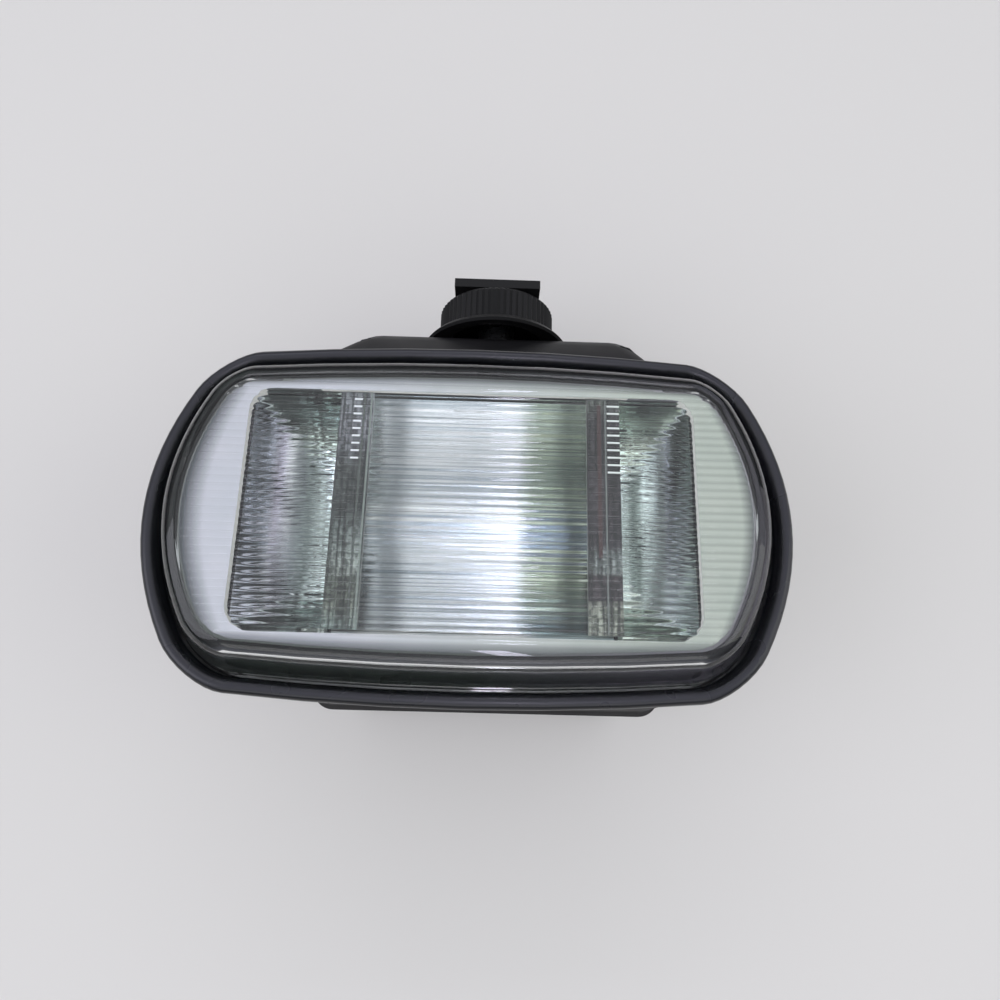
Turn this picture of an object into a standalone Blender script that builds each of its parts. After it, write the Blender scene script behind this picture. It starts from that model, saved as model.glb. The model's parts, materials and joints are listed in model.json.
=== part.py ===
# Shoe-mount camera flash, lying on its back as it is put down on a table.
# Metres. +Z is the way the light goes, +Y points to the foot, +X is to the right seen from the front.
# The origin is under the middle of the body's width, in the plane that the back rests on.

from collections import namedtuple
from math import atan2, cos, pi, radians, sin, sqrt

import bmesh
import bpy
from mathutils import Matrix, Vector

# Fits
GAP = 0.0003  # between pieces that touch
SLIDE_GAP = 0.0004  # round the door, the latch and the buttons
BITE = 0.0005  # how far a cutter runs past the face it cuts

# Body, the tub that lies on the floor
BODY_TOP_Y = -0.0305
BODY_FOOT_Y = 0.0455
BODY_TOP_RADIUS = 0.004
BODY_FOOT_RADIUS = 0.008
BODY_BACK_ROUND = 0.002
TUB_LIP = 0.0025  # wall left above the opening of the battery door
SIDE_WALL = 0.0024
BACK_WALL = 0.0024

# Head, the wide front
HEAD_SHIFT = -0.0035  # the window's axis stands this far to the left of the body's
HEAD_WIDTH = 0.105
HEAD_HEIGHT = 0.060
HEAD_CORNER_RADIUS = 0.0075
HEAD_END_BOW = 0.010  # how far an end falls back from its middle to its corners
HEAD_EDGE_BOW = 0.0022
HOUSING_HEIGHT = 0.020
HOUSING_STRAIGHT = 0.0022  # height of the housing's upright wall over the tub
HOUSING_POST = 0.0045
HOUSING_WALL = 0.002
HOUSING_STEP = 0.001  # the bezel stands this far proud of the housing
HOUSING_GROOVE = 0.0004
BEAD_RADIUS = 0.0012
BEAD_RISE = 0.0078  # of the bead's crest over the housing
BEZEL_WALL = 0.0016
BEZEL_LIP = 0.0026

# Window, a clear moulded tray
WINDOW_RISE = 0.014  # of the window's face over the housing
WINDOW_WALL = 0.002
WINDOW_FLANGE = 0.0015
WINDOW_FACE_INSET = 0.0084
WINDOW_WAIST = 0.0085  # from the face down to where the side wall turns upright
GASKET_HEIGHT = 0.0008
RIB_PITCH = 0.00125
RIB_DEPTH = 0.00016  # of the shallow grooves between the ribs
RIB_LAND = 0.00025  # the flat crest of a rib, between two grooves
RIB_END_GAP = 0.0006  # from a rib's end to the window's inner wall

# Reflectors
MASK_INSET = 0.0078
SKIRT_WALL = 0.0008
MASK_THICKNESS = 0.0014
FRAME_FLANGE = 0.0012
FRAME_REACH = 0.0010  # the frame's flange stays this far inside the housing's wall
MOUTH_MARGIN = 0.01675  # from the end of the head to the mouth
MOUTH_HEIGHT = 0.039
MOUTH_RADIUS = 0.004
MOUTH_CUT = 0.0012  # across the side reflectors' outer corners
TROUGH_SHIFT = 0.0012  # the trough's middle stands this far to the right of the window's axis
TROUGH_WIDTH = 0.0424
TROUGH_DEPTH = 0.0215
TROUGH_EDGE = 0.0004  # from the mouth's edge to the trough's lip
SHEET = 0.0005
SIDE_FLOOR_RISE = 0.0094  # the side reflectors' floor above the bottom of the trough
SIDE_FLOOR_WIDTH = 0.0040
SIDE_FLOOR_HEIGHT = 0.020
BOWL_STEPS = 4
BOWL_ROUND = 0.75  # 0 for flat side reflector walls, 1 for walls that turn a quarter of an ellipse
STRAP_NEAR = 0.0173  # from the trough's middle to the near edge of a strap
STRAP_FAR = 0.0226
STRAP_THICKNESS = 0.0006
STRAP_END_GAP = 0.0004

# Flash tube
TUBE_RADIUS = 0.0025
TUBE_LENGTH = 0.054
ELECTRODE_RADIUS = 0.0016
ELECTRODE_LENGTH = 0.0026
GROMMET_RADIUS = 0.004
GROMMET_LENGTH = 0.005
LEAD_RADIUS = 0.0006
LEAD_BEND = 0.0012
LEAD_TO_WALL = 0.0022
LEAD_KNEE = 0.0065  # from the middle of the housing's height down to a lead's knee

# Batteries, four penlight cells two by two
CELL_DIAMETER = 0.0142
CELL_LENGTH = 0.0505
CELL_NUB_RADIUS = 0.0027
CELL_NUB_LENGTH = 0.0011
CELL_GAP = 0.0004
BAY_END_ROOM = 0.0009  # between the tray's end and the shell
TRAY_WALL = 0.0012
SPRING_LENGTH = 0.0037
SPRING_RADIUS = 0.0038
SPRING_WIRE = 0.0003
SPRING_TURNS = 2.5
CONTACT_SHEET = 0.0005

# Battery door in the +X side
DOOR_HINGE_Z = 0.0034
DOOR_BARREL_RADIUS = 0.0011
DOOR_PIN_RADIUS = 0.0005
DOOR_PIN_REACH = 0.0018  # how far the pin runs into the tub at each end
LATCH_WIDTH = 0.010
LATCH_LENGTH = 0.009
LATCH_THICKNESS = 0.0010
LATCH_TRAVEL = 0.0025
LATCH_TONGUE = 0.0016
LATCH_RIDGE = 0.0006
LATCH_TO_TOP = 0.0015
LATCH_SHOULDER = 0.002  # the tongue is this much narrower on each side
RIDGE_PITCH = 0.0016
RIDGE_WIDTH = 0.0008
RIDGE_COUNT = 4

# Foot and its lock wheel
FOOT_Z = 0.028
FOOT_WIDTH = 0.0186
FOOT_LENGTH = 0.020
FOOT_THICKNESS = 0.0020
FOOT_CHAMFER = 0.0020
FOOT_STAND = 0.0128  # from the body to the inner face of the foot plate
STEM_RADIUS = 0.0040
STEM_BORE = 0.0026
STEM_SPIGOT = 0.0032
STEM_FLANGE_RADIUS = 0.0065
STEM_FLANGE_THICKNESS = 0.0012
BRACKET_WIDTH = 0.024
BRACKET_HEIGHT = 0.020
BRACKET_THICKNESS = 0.0010
FOOT_SCREW_X = 0.009
FOOT_SCREW_Z = 0.0068
FOOT_SCREW_RADIUS = 0.0010
FOOT_SCREW_HEAD_RADIUS = 0.0019
FOOT_SCREW_HEAD_HEIGHT = 0.0009
INSULATOR_WALL = 0.0008
CONTACT_RADIUS = 0.0012
CONTACT_PROUD = 0.0006
CONTACT_LENGTH = 0.0095
CONTACT_TRAVEL = 0.0006
CONTACT_FLOOR = 0.0012
CONTACT_COIL_WIRE = 0.00016
CONTACT_COIL_TURNS = 7
WHEEL_RADIUS = 0.0127
WHEEL_HEIGHT = 0.0098
WHEEL_FLANGE_RADIUS = 0.016
WHEEL_FLANGE_HEIGHT = 0.0022
WHEEL_WALL = 0.0020
WHEEL_WEB = 0.0034
WHEEL_TEETH = 60
WHEEL_TOOTH = 0.0003
WHEEL_TO_PLATE = 0.0013
WASHER_RADIUS = 0.0086
WASHER_THICKNESS = 0.0006
LOCK_PIN_RADIUS = 0.0009
LOCK_PIN_OFFSET = 0.0062
LOCK_PIN_LENGTH = 0.0026

# Electronics
BOARD_Z = 0.009
BOARD_THICKNESS = 0.0016
BOARD_MARGIN = 0.0014
BOARD_SCREW_INSET = 0.0018  # from the board's end to its screws
BOARD_POST_Y = -0.0200
BOARD_REST_Y = -0.0060
BOARD_POST_RADIUS = 0.0018
BOARD_SCREW_RADIUS = 0.0008
BOARD_SCREW_HEAD_RADIUS = 0.0016
BOARD_SCREW_HEAD_HEIGHT = 0.0010
BOARD_SCREW_LENGTH = 0.006
CAPACITOR_RADIUS = 0.011
CAPACITOR_MARGIN = 0.006  # from the board's left end to the can
CAPACITOR_END_ROOM = 0.012  # from the can to the board's right end
CAPACITOR_Y = -0.0145
CORE_WIDTH = 0.007
CORE_LENGTH = 0.013
CORE_HEIGHT = 0.012
CORE_BAR = 0.0025
CORE_Y = -0.0145
COIL_RADIUS = 0.0035
COIL_HEIGHT = 0.008
COIL_INSET = 0.0065  # from the board's right end to the coil's middle
COIL_Y = -0.0025
COIL_RIM = 0.001
TALL_PART_HEIGHT = 0.009
THYRISTOR_INSETS = (0.0090, 0.0015)  # from the board's right end
THYRISTOR_Y = (0.0022, 0.0036)
FILM_CAPACITOR_INSETS = (0.0035, 0.0155)  # from the board's left end
FILM_CAPACITOR_Y = (-0.0020, 0.0030)
RESISTOR_RADIUS = 0.0011
RESISTOR_ENDS = (-0.0018, 0.0034)
RESISTOR_PLACES = (-0.008, -0.002, 0.004, 0.010)
SLIDE_SWITCH_HALF = (0.007, 0.0020)
KEY_SWITCH_HALF = 0.003
DIAL_CONTROL_RADIUS = 0.005

# Controls in the back
PANEL_LOW_Y = -0.0266
PANEL_HIGH_Y = -0.0009
PANEL_THICKNESS = 0.0015
PANEL_LEDGE = 0.0018  # the window in the back wall is this much smaller than the panel
KNOB_RECESS = 0.0007  # the controls stay this far inside the back face
DIAL_AT = (-0.009, -0.0138)
DIAL_RADIUS = 0.0085
DIAL_TEETH = 30
DIAL_TOOTH = 0.0003
DIAL_EDGE = 0.0005
SPINDLE_RADIUS = 0.0022
SWITCH_AT = (0.0085, -0.0200)
SWITCH_KNOB = (0.0064, 0.0044)
SWITCH_STEM = (0.0030, 0.0024)
SWITCH_TRAVEL = 0.005
BUTTON_AT = (0.0150, -0.0100)
BUTTON_RADIUS = 0.0030
BUTTON_TRAVEL = 0.0006
BUTTON_FLANGE = 0.0009
LAMP_AT = (0.0055, -0.0100)
LAMP_RADIUS = 0.0015
LAMP_FLANGE = 0.0009

# Fasteners and the sync socket
WELL_RADIUS = 0.0024
WELL_DEPTH = 0.026
POST_RADIUS = 0.0032
SCREW_RADIUS = 0.0012
SCREW_HEAD_RADIUS = 0.0021
SCREW_HEAD_HEIGHT = 0.0016
SCREW_REACH = 0.0036  # how far a shell screw runs into the housing's post
SOCKET_AT = (-0.013, 0.022)
SOCKET_RADIUS = 0.0030
SOCKET_PROUD = 0.0003
SOCKET_LENGTH = 0.0062
SOCKET_WALL = 0.0008
SOCKET_DEPTH = 0.0030
SOCKET_PIN_RADIUS = 0.0007

# Light sensor behind the foot-side wall of the window
SENSOR_SIZE = (0.0126, 0.0017, 0.0050)

SIDES = (("left", -1), ("right", 1))

Outline = namedtuple("Outline", "half_width y_low y_high end_bow edge_bow radius_low radius_high middle_x")

# The body holds the cells with their springs and contacts end to end between its side walls
bay_length = CELL_LENGTH + SPRING_LENGTH + 2 * CONTACT_SHEET + 5 * GAP + TRAY_WALL
body_width = bay_length + BAY_END_ROOM + 2 * SIDE_WALL
mouth_half = HEAD_WIDTH / 2 - MOUTH_MARGIN
trough_x = HEAD_SHIFT + TROUGH_SHIFT

body_outline = Outline(
    body_width / 2, BODY_TOP_Y, BODY_FOOT_Y, 0.0, 0.0, BODY_TOP_RADIUS, BODY_FOOT_RADIUS, 0.0
)
head_outline = Outline(
    HEAD_WIDTH / 2, -HEAD_HEIGHT / 2, HEAD_HEIGHT / 2,
    HEAD_END_BOW, HEAD_EDGE_BOW, HEAD_CORNER_RADIUS, HEAD_CORNER_RADIUS, HEAD_SHIFT,
)
mouth_outline = Outline(
    mouth_half, -MOUTH_HEIGHT / 2, MOUTH_HEIGHT / 2, 0.0, 0.0, MOUTH_RADIUS, MOUTH_RADIUS, HEAD_SHIFT
)

# Places that several pieces share
body_side = body_width / 2
inner_side = body_side - SIDE_WALL
inner_foot = BODY_FOOT_Y - SIDE_WALL
board_top = BOARD_Z + BOARD_THICKNESS
panel_z = BACK_WALL + GAP

bay_size = 2 * CELL_DIAMETER + 3 * CELL_GAP
tray_size = bay_size + 2 * TRAY_WALL
tray_high_y = inner_foot + BITE - 2 * POST_RADIUS - GAP
tray_low_y = tray_high_y - tray_size
tray_low_z = BACK_WALL + GAP
bay_low_y = tray_low_y + TRAY_WALL
bay_low_z = tray_low_z + TRAY_WALL
cell_rows_y = [bay_low_y + CELL_GAP + CELL_DIAMETER / 2 + k * (CELL_DIAMETER + CELL_GAP) for k in (0, 1)]
cell_rows_z = [bay_low_z + CELL_GAP + CELL_DIAMETER / 2 + k * (CELL_DIAMETER + CELL_GAP) for k in (0, 1)]
door_low_y = bay_low_y
door_high_y = bay_low_y + bay_size
door_opening_low_z = DOOR_HINGE_Z - DOOR_BARREL_RADIUS - GAP
door_opening_high_z = bay_low_z + bay_size
door_top_z = door_opening_high_z - SLIDE_GAP
tub_depth = door_opening_high_z + TUB_LIP
parting_z = tub_depth + GAP
housing_top_z = tub_depth + HOUSING_HEIGHT
window_face_z = housing_top_z + WINDOW_RISE
hinge_x = body_side - SIDE_WALL / 2
door_plates_x = inner_side - GAP - CONTACT_SHEET
nub_high_x = door_plates_x - GAP
nub_low_x = nub_high_x - CELL_LENGTH - SPRING_LENGTH - GAP
fixed_plates_x = nub_low_x - GAP - CONTACT_SHEET
tray_low_x = fixed_plates_x - GAP - TRAY_WALL
tray_high_x = inner_side - 2 * GAP

plate_y = BODY_FOOT_Y + FOOT_STAND
sole_y = plate_y + FOOT_THICKNESS
bracket_high_y = inner_foot - GAP
stem_flange_high_y = bracket_high_y - BRACKET_THICKNESS - GAP
wheel_high_y = plate_y - WHEEL_TO_PLATE
wheel_low_y = wheel_high_y - WHEEL_HEIGHT
washer_low_y = wheel_high_y - WASHER_THICKNESS

mask_top_z = window_face_z - WINDOW_WALL - 2 * GAP
mask_low_z = mask_top_z - MASK_THICKNESS
lip_z = mask_low_z - GAP
trough_z = lip_z - TROUGH_DEPTH
trough_half = MOUTH_HEIGHT / 2 - TROUGH_EDGE
focal = trough_half**2 / (4 * TROUGH_DEPTH)
tube_z = trough_z + focal
side_floor_z = trough_z + SIDE_FLOOR_RISE
cheek_x = TROUGH_WIDTH / 2 + 2 * GAP
post_x = inner_side - POST_RADIUS
panel_half = post_x - POST_RADIUS - BITE
post_places = [
    (side * post_x, y)
    for y in (BODY_TOP_Y + SIDE_WALL + POST_RADIUS - BITE, inner_foot - POST_RADIUS + BITE)
    for side in (-1, 1)
]

board_low_y = BODY_TOP_Y + SIDE_WALL + 2 * POST_RADIUS - BITE + GAP
board_high_y = tray_low_y - 2 * GAP
board_half = inner_side - BOARD_MARGIN
board_post_x = board_half - BOARD_SCREW_INSET
capacitor_x = CAPACITOR_MARGIN - board_half
capacitor_length = board_half - CAPACITOR_END_ROOM - capacitor_x
board_screw_places = [(side * board_post_x, BOARD_POST_Y) for side in (-1, 1)]
board_rest_places = [(side * board_post_x, BOARD_REST_Y) for side in (-1, 1)]

scene = bpy.context.scene
for old in list(bpy.data.objects):
    bpy.data.objects.remove(old, do_unlink=True)
parts = bpy.data.collections.new("camera_flash")
cutters = bpy.data.collections.new("cutters")
scene.collection.children.link(parts)
scene.collection.children.link(cutters)


def material(name, color, roughness, metallic=0.0):
    made = bpy.data.materials.new(name)
    made.use_nodes = True
    shader = made.node_tree.nodes["Principled BSDF"]
    shader.inputs["Base Color"].default_value = (*color, 1.0)
    shader.inputs["Roughness"].default_value = roughness
    shader.inputs["Metallic"].default_value = metallic
    return made


black_shell = material("black_shell", (0.012, 0.011, 0.012), 0.45)
black_trim = material("black_trim", (0.010, 0.011, 0.014), 0.35)
clear_plastic = material("clear_plastic", (0.80, 0.84, 0.82), 0.08)
tube_glass = material("tube_glass", (0.82, 0.84, 0.86), 0.05)
smoke_plastic = material("smoke_plastic", (0.10, 0.11, 0.10), 0.20)
mirror_metal = material("mirror_metal", (0.80, 0.81, 0.84), 0.15, 1.0)
silver_mask = material("silver_mask", (0.72, 0.74, 0.73), 0.30, 1.0)
steel = material("steel", (0.55, 0.55, 0.56), 0.30, 1.0)
nickel = material("nickel", (0.70, 0.69, 0.66), 0.22, 1.0)
black_rubber = material("black_rubber", (0.015, 0.015, 0.015), 0.80)
pale_silicone = material("pale_silicone", (0.62, 0.60, 0.56), 0.60)
green_board = material("green_board", (0.03, 0.16, 0.07), 0.45)
board_black = material("board_black", (0.02, 0.02, 0.022), 0.50)
can_sleeve = material("can_sleeve", (0.02, 0.03, 0.10), 0.35)
cell_sleeve = material("cell_sleeve", (0.30, 0.31, 0.32), 0.35)
ferrite = material("ferrite", (0.05, 0.05, 0.055), 0.65)
tape_yellow = material("tape_yellow", (0.75, 0.52, 0.08), 0.45)
white_plastic = material("white_plastic", (0.75, 0.75, 0.72), 0.45)
red_lens = material("red_lens", (0.60, 0.06, 0.02), 0.20)
wire_sleeve = material("wire_sleeve", (0.55, 0.03, 0.02), 0.50)
orange_button = material("orange_button", (0.75, 0.20, 0.02), 0.40)


def add_object(name, mesh, look, collection=parts):
    thing = bpy.data.objects.new(name, mesh)
    if look:
        mesh.materials.append(look)
    collection.objects.link(thing)
    if collection is cutters:
        thing.hide_render = True
        thing.display_type = "WIRE"
    return thing


def from_bmesh(name, shape, look, collection=parts):
    mesh = bpy.data.meshes.new(name)
    shape.to_mesh(mesh)
    shape.free()
    return add_object(name, mesh, look, collection)


def smooth(thing, degrees=35):
    thing.data.shade_smooth()
    thing.data.set_sharp_from_angle(angle=radians(degrees))
    return thing


def bevel(thing, width, segments=2):
    modifier = thing.modifiers.new("edges", "BEVEL")
    modifier.width = width
    modifier.segments = segments
    modifier.limit_method = "ANGLE"
    modifier.angle_limit = radians(40)
    return thing


def boolean(thing, other, operation="DIFFERENCE"):
    modifier = thing.modifiers.new(operation.lower(), "BOOLEAN")
    modifier.operation = operation
    modifier.solver = "EXACT"
    modifier.object = other
    return thing


def box(name, low, high, look, collection=parts):
    shape = bmesh.new()
    size = [b - a for a, b in zip(low, high)]
    bmesh.ops.create_cube(shape, size=1.0, matrix=Matrix.Diagonal((*size, 1.0)))
    thing = from_bmesh(name, shape, look, collection)
    thing.location = [(a + b) / 2 for a, b in zip(low, high)]
    return thing


def rod(name, radius, start, end, look, collection=parts, sides=24, end_radius=None):
    """A round bar from start to end."""
    start, end = Vector(start), Vector(end)
    shape = bmesh.new()
    bmesh.ops.create_cone(
        shape, cap_ends=True, segments=sides, radius1=radius,
        radius2=radius if end_radius is None else end_radius, depth=(end - start).length,
    )
    thing = from_bmesh(name, shape, look, collection)
    thing.location = (start + end) / 2
    thing.rotation_mode = "QUATERNION"
    thing.rotation_quaternion = (end - start).to_track_quat("Z", "Y")
    return smooth(thing)


def turned(name, profile, origin, axis, look, steps=32, ring=False, collection=parts):
    """A profile of (radius, height) turned about an axis through origin. It runs down its outer side."""
    shape = bmesh.new()
    verts = [shape.verts.new((radius, 0.0, height)) for radius, height in profile]
    for first, second in zip(verts, verts[1:] + ([verts[0]] if ring else [])):
        shape.edges.new((first, second))
    thing = from_bmesh(name, shape, look, collection)
    screw = thing.modifiers.new("turn", "SCREW")
    screw.axis = "Z"
    screw.steps = screw.render_steps = steps
    screw.use_merge_vertices = True
    screw.merge_threshold = 0.00002
    screw.use_smooth_shade = True
    thing.location = origin
    thing.rotation_mode = "QUATERNION"
    thing.rotation_quaternion = Vector(axis).to_track_quat("Z", "Y")
    return thing


def wire(name, points, radius, look, resolution=1):
    curve = bpy.data.curves.new(name, "CURVE")
    curve.dimensions = "3D"
    curve.bevel_depth = radius
    curve.bevel_resolution = resolution
    curve.use_fill_caps = True
    spline = curve.splines.new("POLY")
    spline.points.add(len(points) - 1)
    for point, place in zip(spline.points, points):
        point.co = (*place, 1.0)
    thing = bpy.data.objects.new(name, curve)
    curve.materials.append(look)
    parts.objects.link(thing)
    return thing


def evaluated(thing, look, collection=parts):
    """The object as its modifiers leave it, as a plain mesh with the same name and place."""
    graph = bpy.context.evaluated_depsgraph_get()
    mesh = bpy.data.meshes.new_from_object(thing.evaluated_get(graph))
    name, place = thing.name, thing.matrix_world.copy()
    bpy.data.objects.remove(thing, do_unlink=True)
    shape = bmesh.new()
    shape.from_mesh(mesh)
    bmesh.ops.remove_doubles(shape, verts=shape.verts, dist=0.00001)
    bmesh.ops.recalc_face_normals(shape, faces=shape.faces)
    shape.to_mesh(mesh)
    shape.free()
    mesh.materials.clear()
    made = add_object(name, mesh, look, collection)
    made.matrix_world = place
    return made


def join_cutters(name, pieces):
    """Several separate cutters as one, for a single cut."""
    shape = bmesh.new()
    bpy.context.view_layer.update()
    graph = bpy.context.evaluated_depsgraph_get()
    for piece in pieces:
        mesh = bpy.data.meshes.new_from_object(piece.evaluated_get(graph))
        mesh.transform(piece.matrix_world)
        shape.from_mesh(mesh)
        bpy.data.meshes.remove(mesh)
    bmesh.ops.remove_doubles(shape, verts=shape.verts, dist=0.00001)
    for piece in pieces:
        bpy.data.objects.remove(piece, do_unlink=True)
    return from_bmesh(name, shape, None, cutters)


def unite(thing, others):
    """Unions the others into a thing that has no modifiers yet, then removes them."""
    for other in others:
        boolean(thing, other, "UNION")
    bpy.context.view_layer.update()
    made = evaluated(thing, thing.data.materials[0])
    for other in others:
        bpy.data.objects.remove(other, do_unlink=True)
    return made


def hang(name, place, things):
    """Puts an empty on a joint's axis and the moving things under it."""
    empty = bpy.data.objects.new(name, None)
    empty.empty_display_size = 0.004
    empty.location = place
    parts.objects.link(empty)
    bpy.context.view_layer.update()
    for thing in things:
        thing.parent = empty
        thing.matrix_parent_inverse = empty.matrix_world.inverted()
    return empty


def flattened(bow, half_span, distance):
    """The bow of the parallel curve that lies this far inside one with the bow given."""
    if bow == 0:
        return 0.0
    radius = half_span**2 / (2 * bow)
    return (half_span - distance) ** 2 / (2 * (radius - distance))


def inset(outline, distance):
    """The outline moved inwards all round. Its corners tighten half as fast as it shrinks."""
    half_height = (outline.y_high - outline.y_low) / 2
    return outline._replace(
        end_bow=flattened(outline.end_bow, half_height, distance),
        edge_bow=flattened(outline.edge_bow, outline.half_width, distance),
        half_width=outline.half_width - distance,
        y_low=outline.y_low + distance,
        y_high=outline.y_high - distance,
        radius_low=max(outline.radius_low - distance / 2, 0.001),
        radius_high=max(outline.radius_high - distance / 2, 0.001),
    )


def blend(first, second, share):
    return Outline(*[a + (b - a) * share for a, b in zip(first, second)])


def outline_points(outline, corner_steps=8, end_steps=16, edge_steps=6):
    """A rounded rectangle whose ends and long edges are bowed, anticlockwise from the +X +Y corner."""
    middle = (outline.y_low + outline.y_high) / 2
    half = (outline.y_high - outline.y_low) / 2
    flat = []
    for sign_x, sign_y, start in ((1, 1, 0), (-1, 1, 90), (-1, -1, 180), (1, -1, 270)):
        radius = outline.radius_high if sign_y > 0 else outline.radius_low
        centre = (sign_x * (outline.half_width - radius), sign_y * (half - radius))
        corner = [
            (centre[0] + radius * cos(radians(start + 90 * k / corner_steps)),
             centre[1] + radius * sin(radians(start + 90 * k / corner_steps)))
            for k in range(corner_steps + 1)
        ]
        flat.append(corner)
    points = []
    for k, corner in enumerate(flat):
        after = flat[(k + 1) % 4][0]
        steps = edge_steps if k % 2 == 0 else end_steps
        last = corner[-1]
        points += corner
        points += [
            (last[0] + (after[0] - last[0]) * j / steps, last[1] + (after[1] - last[1]) * j / steps)
            for j in range(1, steps)
        ]
    bowed = []
    for x, y in points:
        end_fall = outline.end_bow / outline.half_width * (y / half) ** 2
        edge_fall = outline.edge_bow / half * (x / outline.half_width) ** 2
        bowed.append((x * (1 - end_fall) + outline.middle_x, y * (1 - edge_fall) + middle))
    return bowed


def span_at(outline, y):
    """The lowest and the highest x of the outline at this height."""
    points = outline_points(outline)
    crossings = [
        start[0] + (end[0] - start[0]) * (y - start[1]) / (end[1] - start[1])
        for start, end in zip(points, points[1:] + points[:1])
        if min(start[1], end[1]) <= y < max(start[1], end[1])
    ]
    return min(crossings), max(crossings)


def loft(name, sections, look, closed=False, capped=True, collection=parts):
    """Skins (outline, z) sections in order. Closed joins the last to the first, for a ring."""
    shape = bmesh.new()
    rings = [
        [shape.verts.new((x, y, z)) for x, y in outline_points(outline)] for outline, z in sections
    ]
    pairs = list(zip(rings, rings[1:] + ([rings[0]] if closed else [])))
    for lower, upper in pairs:
        for k in range(len(lower)):
            after = (k + 1) % len(lower)
            shape.faces.new((lower[k], lower[after], upper[after], upper[k]))
    if capped and not closed:
        shape.faces.new(rings[0])
        shape.faces.new(rings[-1])
    bmesh.ops.recalc_face_normals(shape, faces=shape.faces)
    return smooth(from_bmesh(name, shape, look, collection))


def sheet(name, corners, faces, look, thickness, inward=None):
    """Bent sheet metal: flat panels with a thickness."""
    shape = bmesh.new()
    verts = [shape.verts.new(corner) for corner in corners]
    for face in faces:
        shape.faces.new([verts[k] for k in face])
    bmesh.ops.recalc_face_normals(shape, faces=shape.faces)
    if inward is not None and (shape.faces[:][0].normal.dot(Vector(inward)) < 0):
        bmesh.ops.reverse_faces(shape, faces=shape.faces)
    thing = from_bmesh(name, shape, look)
    thicken = thing.modifiers.new("thickness", "SOLIDIFY")
    thicken.thickness = thickness
    thicken.offset = -1.0
    thicken.use_even_offset = True
    return thing


def make_rear_shell():
    outer = body_outline
    inner = inset(body_outline, SIDE_WALL)
    shell = loft(
        "rear_shell",
        [
            (inset(outer, BODY_BACK_ROUND), 0.0),
            (inset(outer, BODY_BACK_ROUND * 0.3), BODY_BACK_ROUND * 0.3),
            (outer, BODY_BACK_ROUND),
            (outer, tub_depth),
            (inner, tub_depth),
            (inner, BACK_WALL),
        ],
        black_shell,
    )
    posts = [
        rod("post", POST_RADIUS, (x, y, BACK_WALL / 2), (x, y, tub_depth), None, cutters, 12)
        for x, y in post_places
    ]
    posts += [
        rod("board_post", BOARD_POST_RADIUS, (x, y, BACK_WALL / 2), (x, y, BOARD_Z - GAP), None, cutters, 12)
        for x, y in board_screw_places + board_rest_places
    ]
    shell = unite(shell, posts)
    for x, y in post_places:
        boolean(shell, rod("well", WELL_RADIUS, (x, y, -BITE), (x, y, WELL_DEPTH), None, cutters, 16))
        boolean(shell, rod("bore", SCREW_RADIUS + GAP, (x, y, WELL_DEPTH / 2),
                           (x, y, tub_depth + BITE), None, cutters, 12))
    for x, y in board_screw_places:
        boolean(shell, rod("board_bore", BOARD_SCREW_RADIUS + GAP, (x, y, BACK_WALL), (x, y, BOARD_Z),
                           None, cutters, 12))
    boolean(shell, box(
        "door_opening",
        (inner_side - BITE, door_low_y, door_opening_low_z),
        (body_side + BITE, door_high_y, door_opening_high_z), None, cutters,
    ))
    middle_y = (door_low_y + door_high_y) / 2
    tongue_half = LATCH_WIDTH / 2 - LATCH_SHOULDER + SLIDE_GAP
    boolean(shell, box(
        "latch_notch",
        (body_side - LATCH_THICKNESS - GAP, middle_y - tongue_half, door_opening_high_z - BITE),
        (body_side + BITE, middle_y + tongue_half, door_top_z + LATCH_TONGUE + SLIDE_GAP), None, cutters,
    ))
    boolean(shell, rod(
        "hinge_hole", DOOR_PIN_RADIUS + GAP, (hinge_x, door_low_y - DOOR_PIN_REACH - GAP, DOOR_HINGE_Z),
        (hinge_x, door_high_y + DOOR_PIN_REACH + GAP, DOOR_HINGE_Z), None, cutters, 12,
    ))
    ledge = PANEL_LEDGE
    boolean(shell, box(
        "panel_window", (ledge - panel_half, PANEL_LOW_Y + ledge, -BITE),
        (panel_half - ledge, PANEL_HIGH_Y - ledge, BACK_WALL + BITE), None, cutters,
    ))
    boolean(shell, rod(
        "stem_hole", STEM_RADIUS + GAP, (0, inner_foot - BITE, FOOT_Z), (0, BODY_FOOT_Y + BITE, FOOT_Z),
        None, cutters, 32,
    ))
    for x, z in foot_screw_places():
        boolean(shell, rod("foot_screw_hole", FOOT_SCREW_RADIUS + GAP, (x, inner_foot - BITE, z),
                           (x, inner_foot + SIDE_WALL * 0.7, z), None, cutters, 12))
    boolean(shell, rod(
        "socket_hole", SOCKET_RADIUS + GAP, (-inner_side + BITE, *SOCKET_AT), (-body_side - BITE, *SOCKET_AT),
        None, cutters, 24,
    ))


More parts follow.
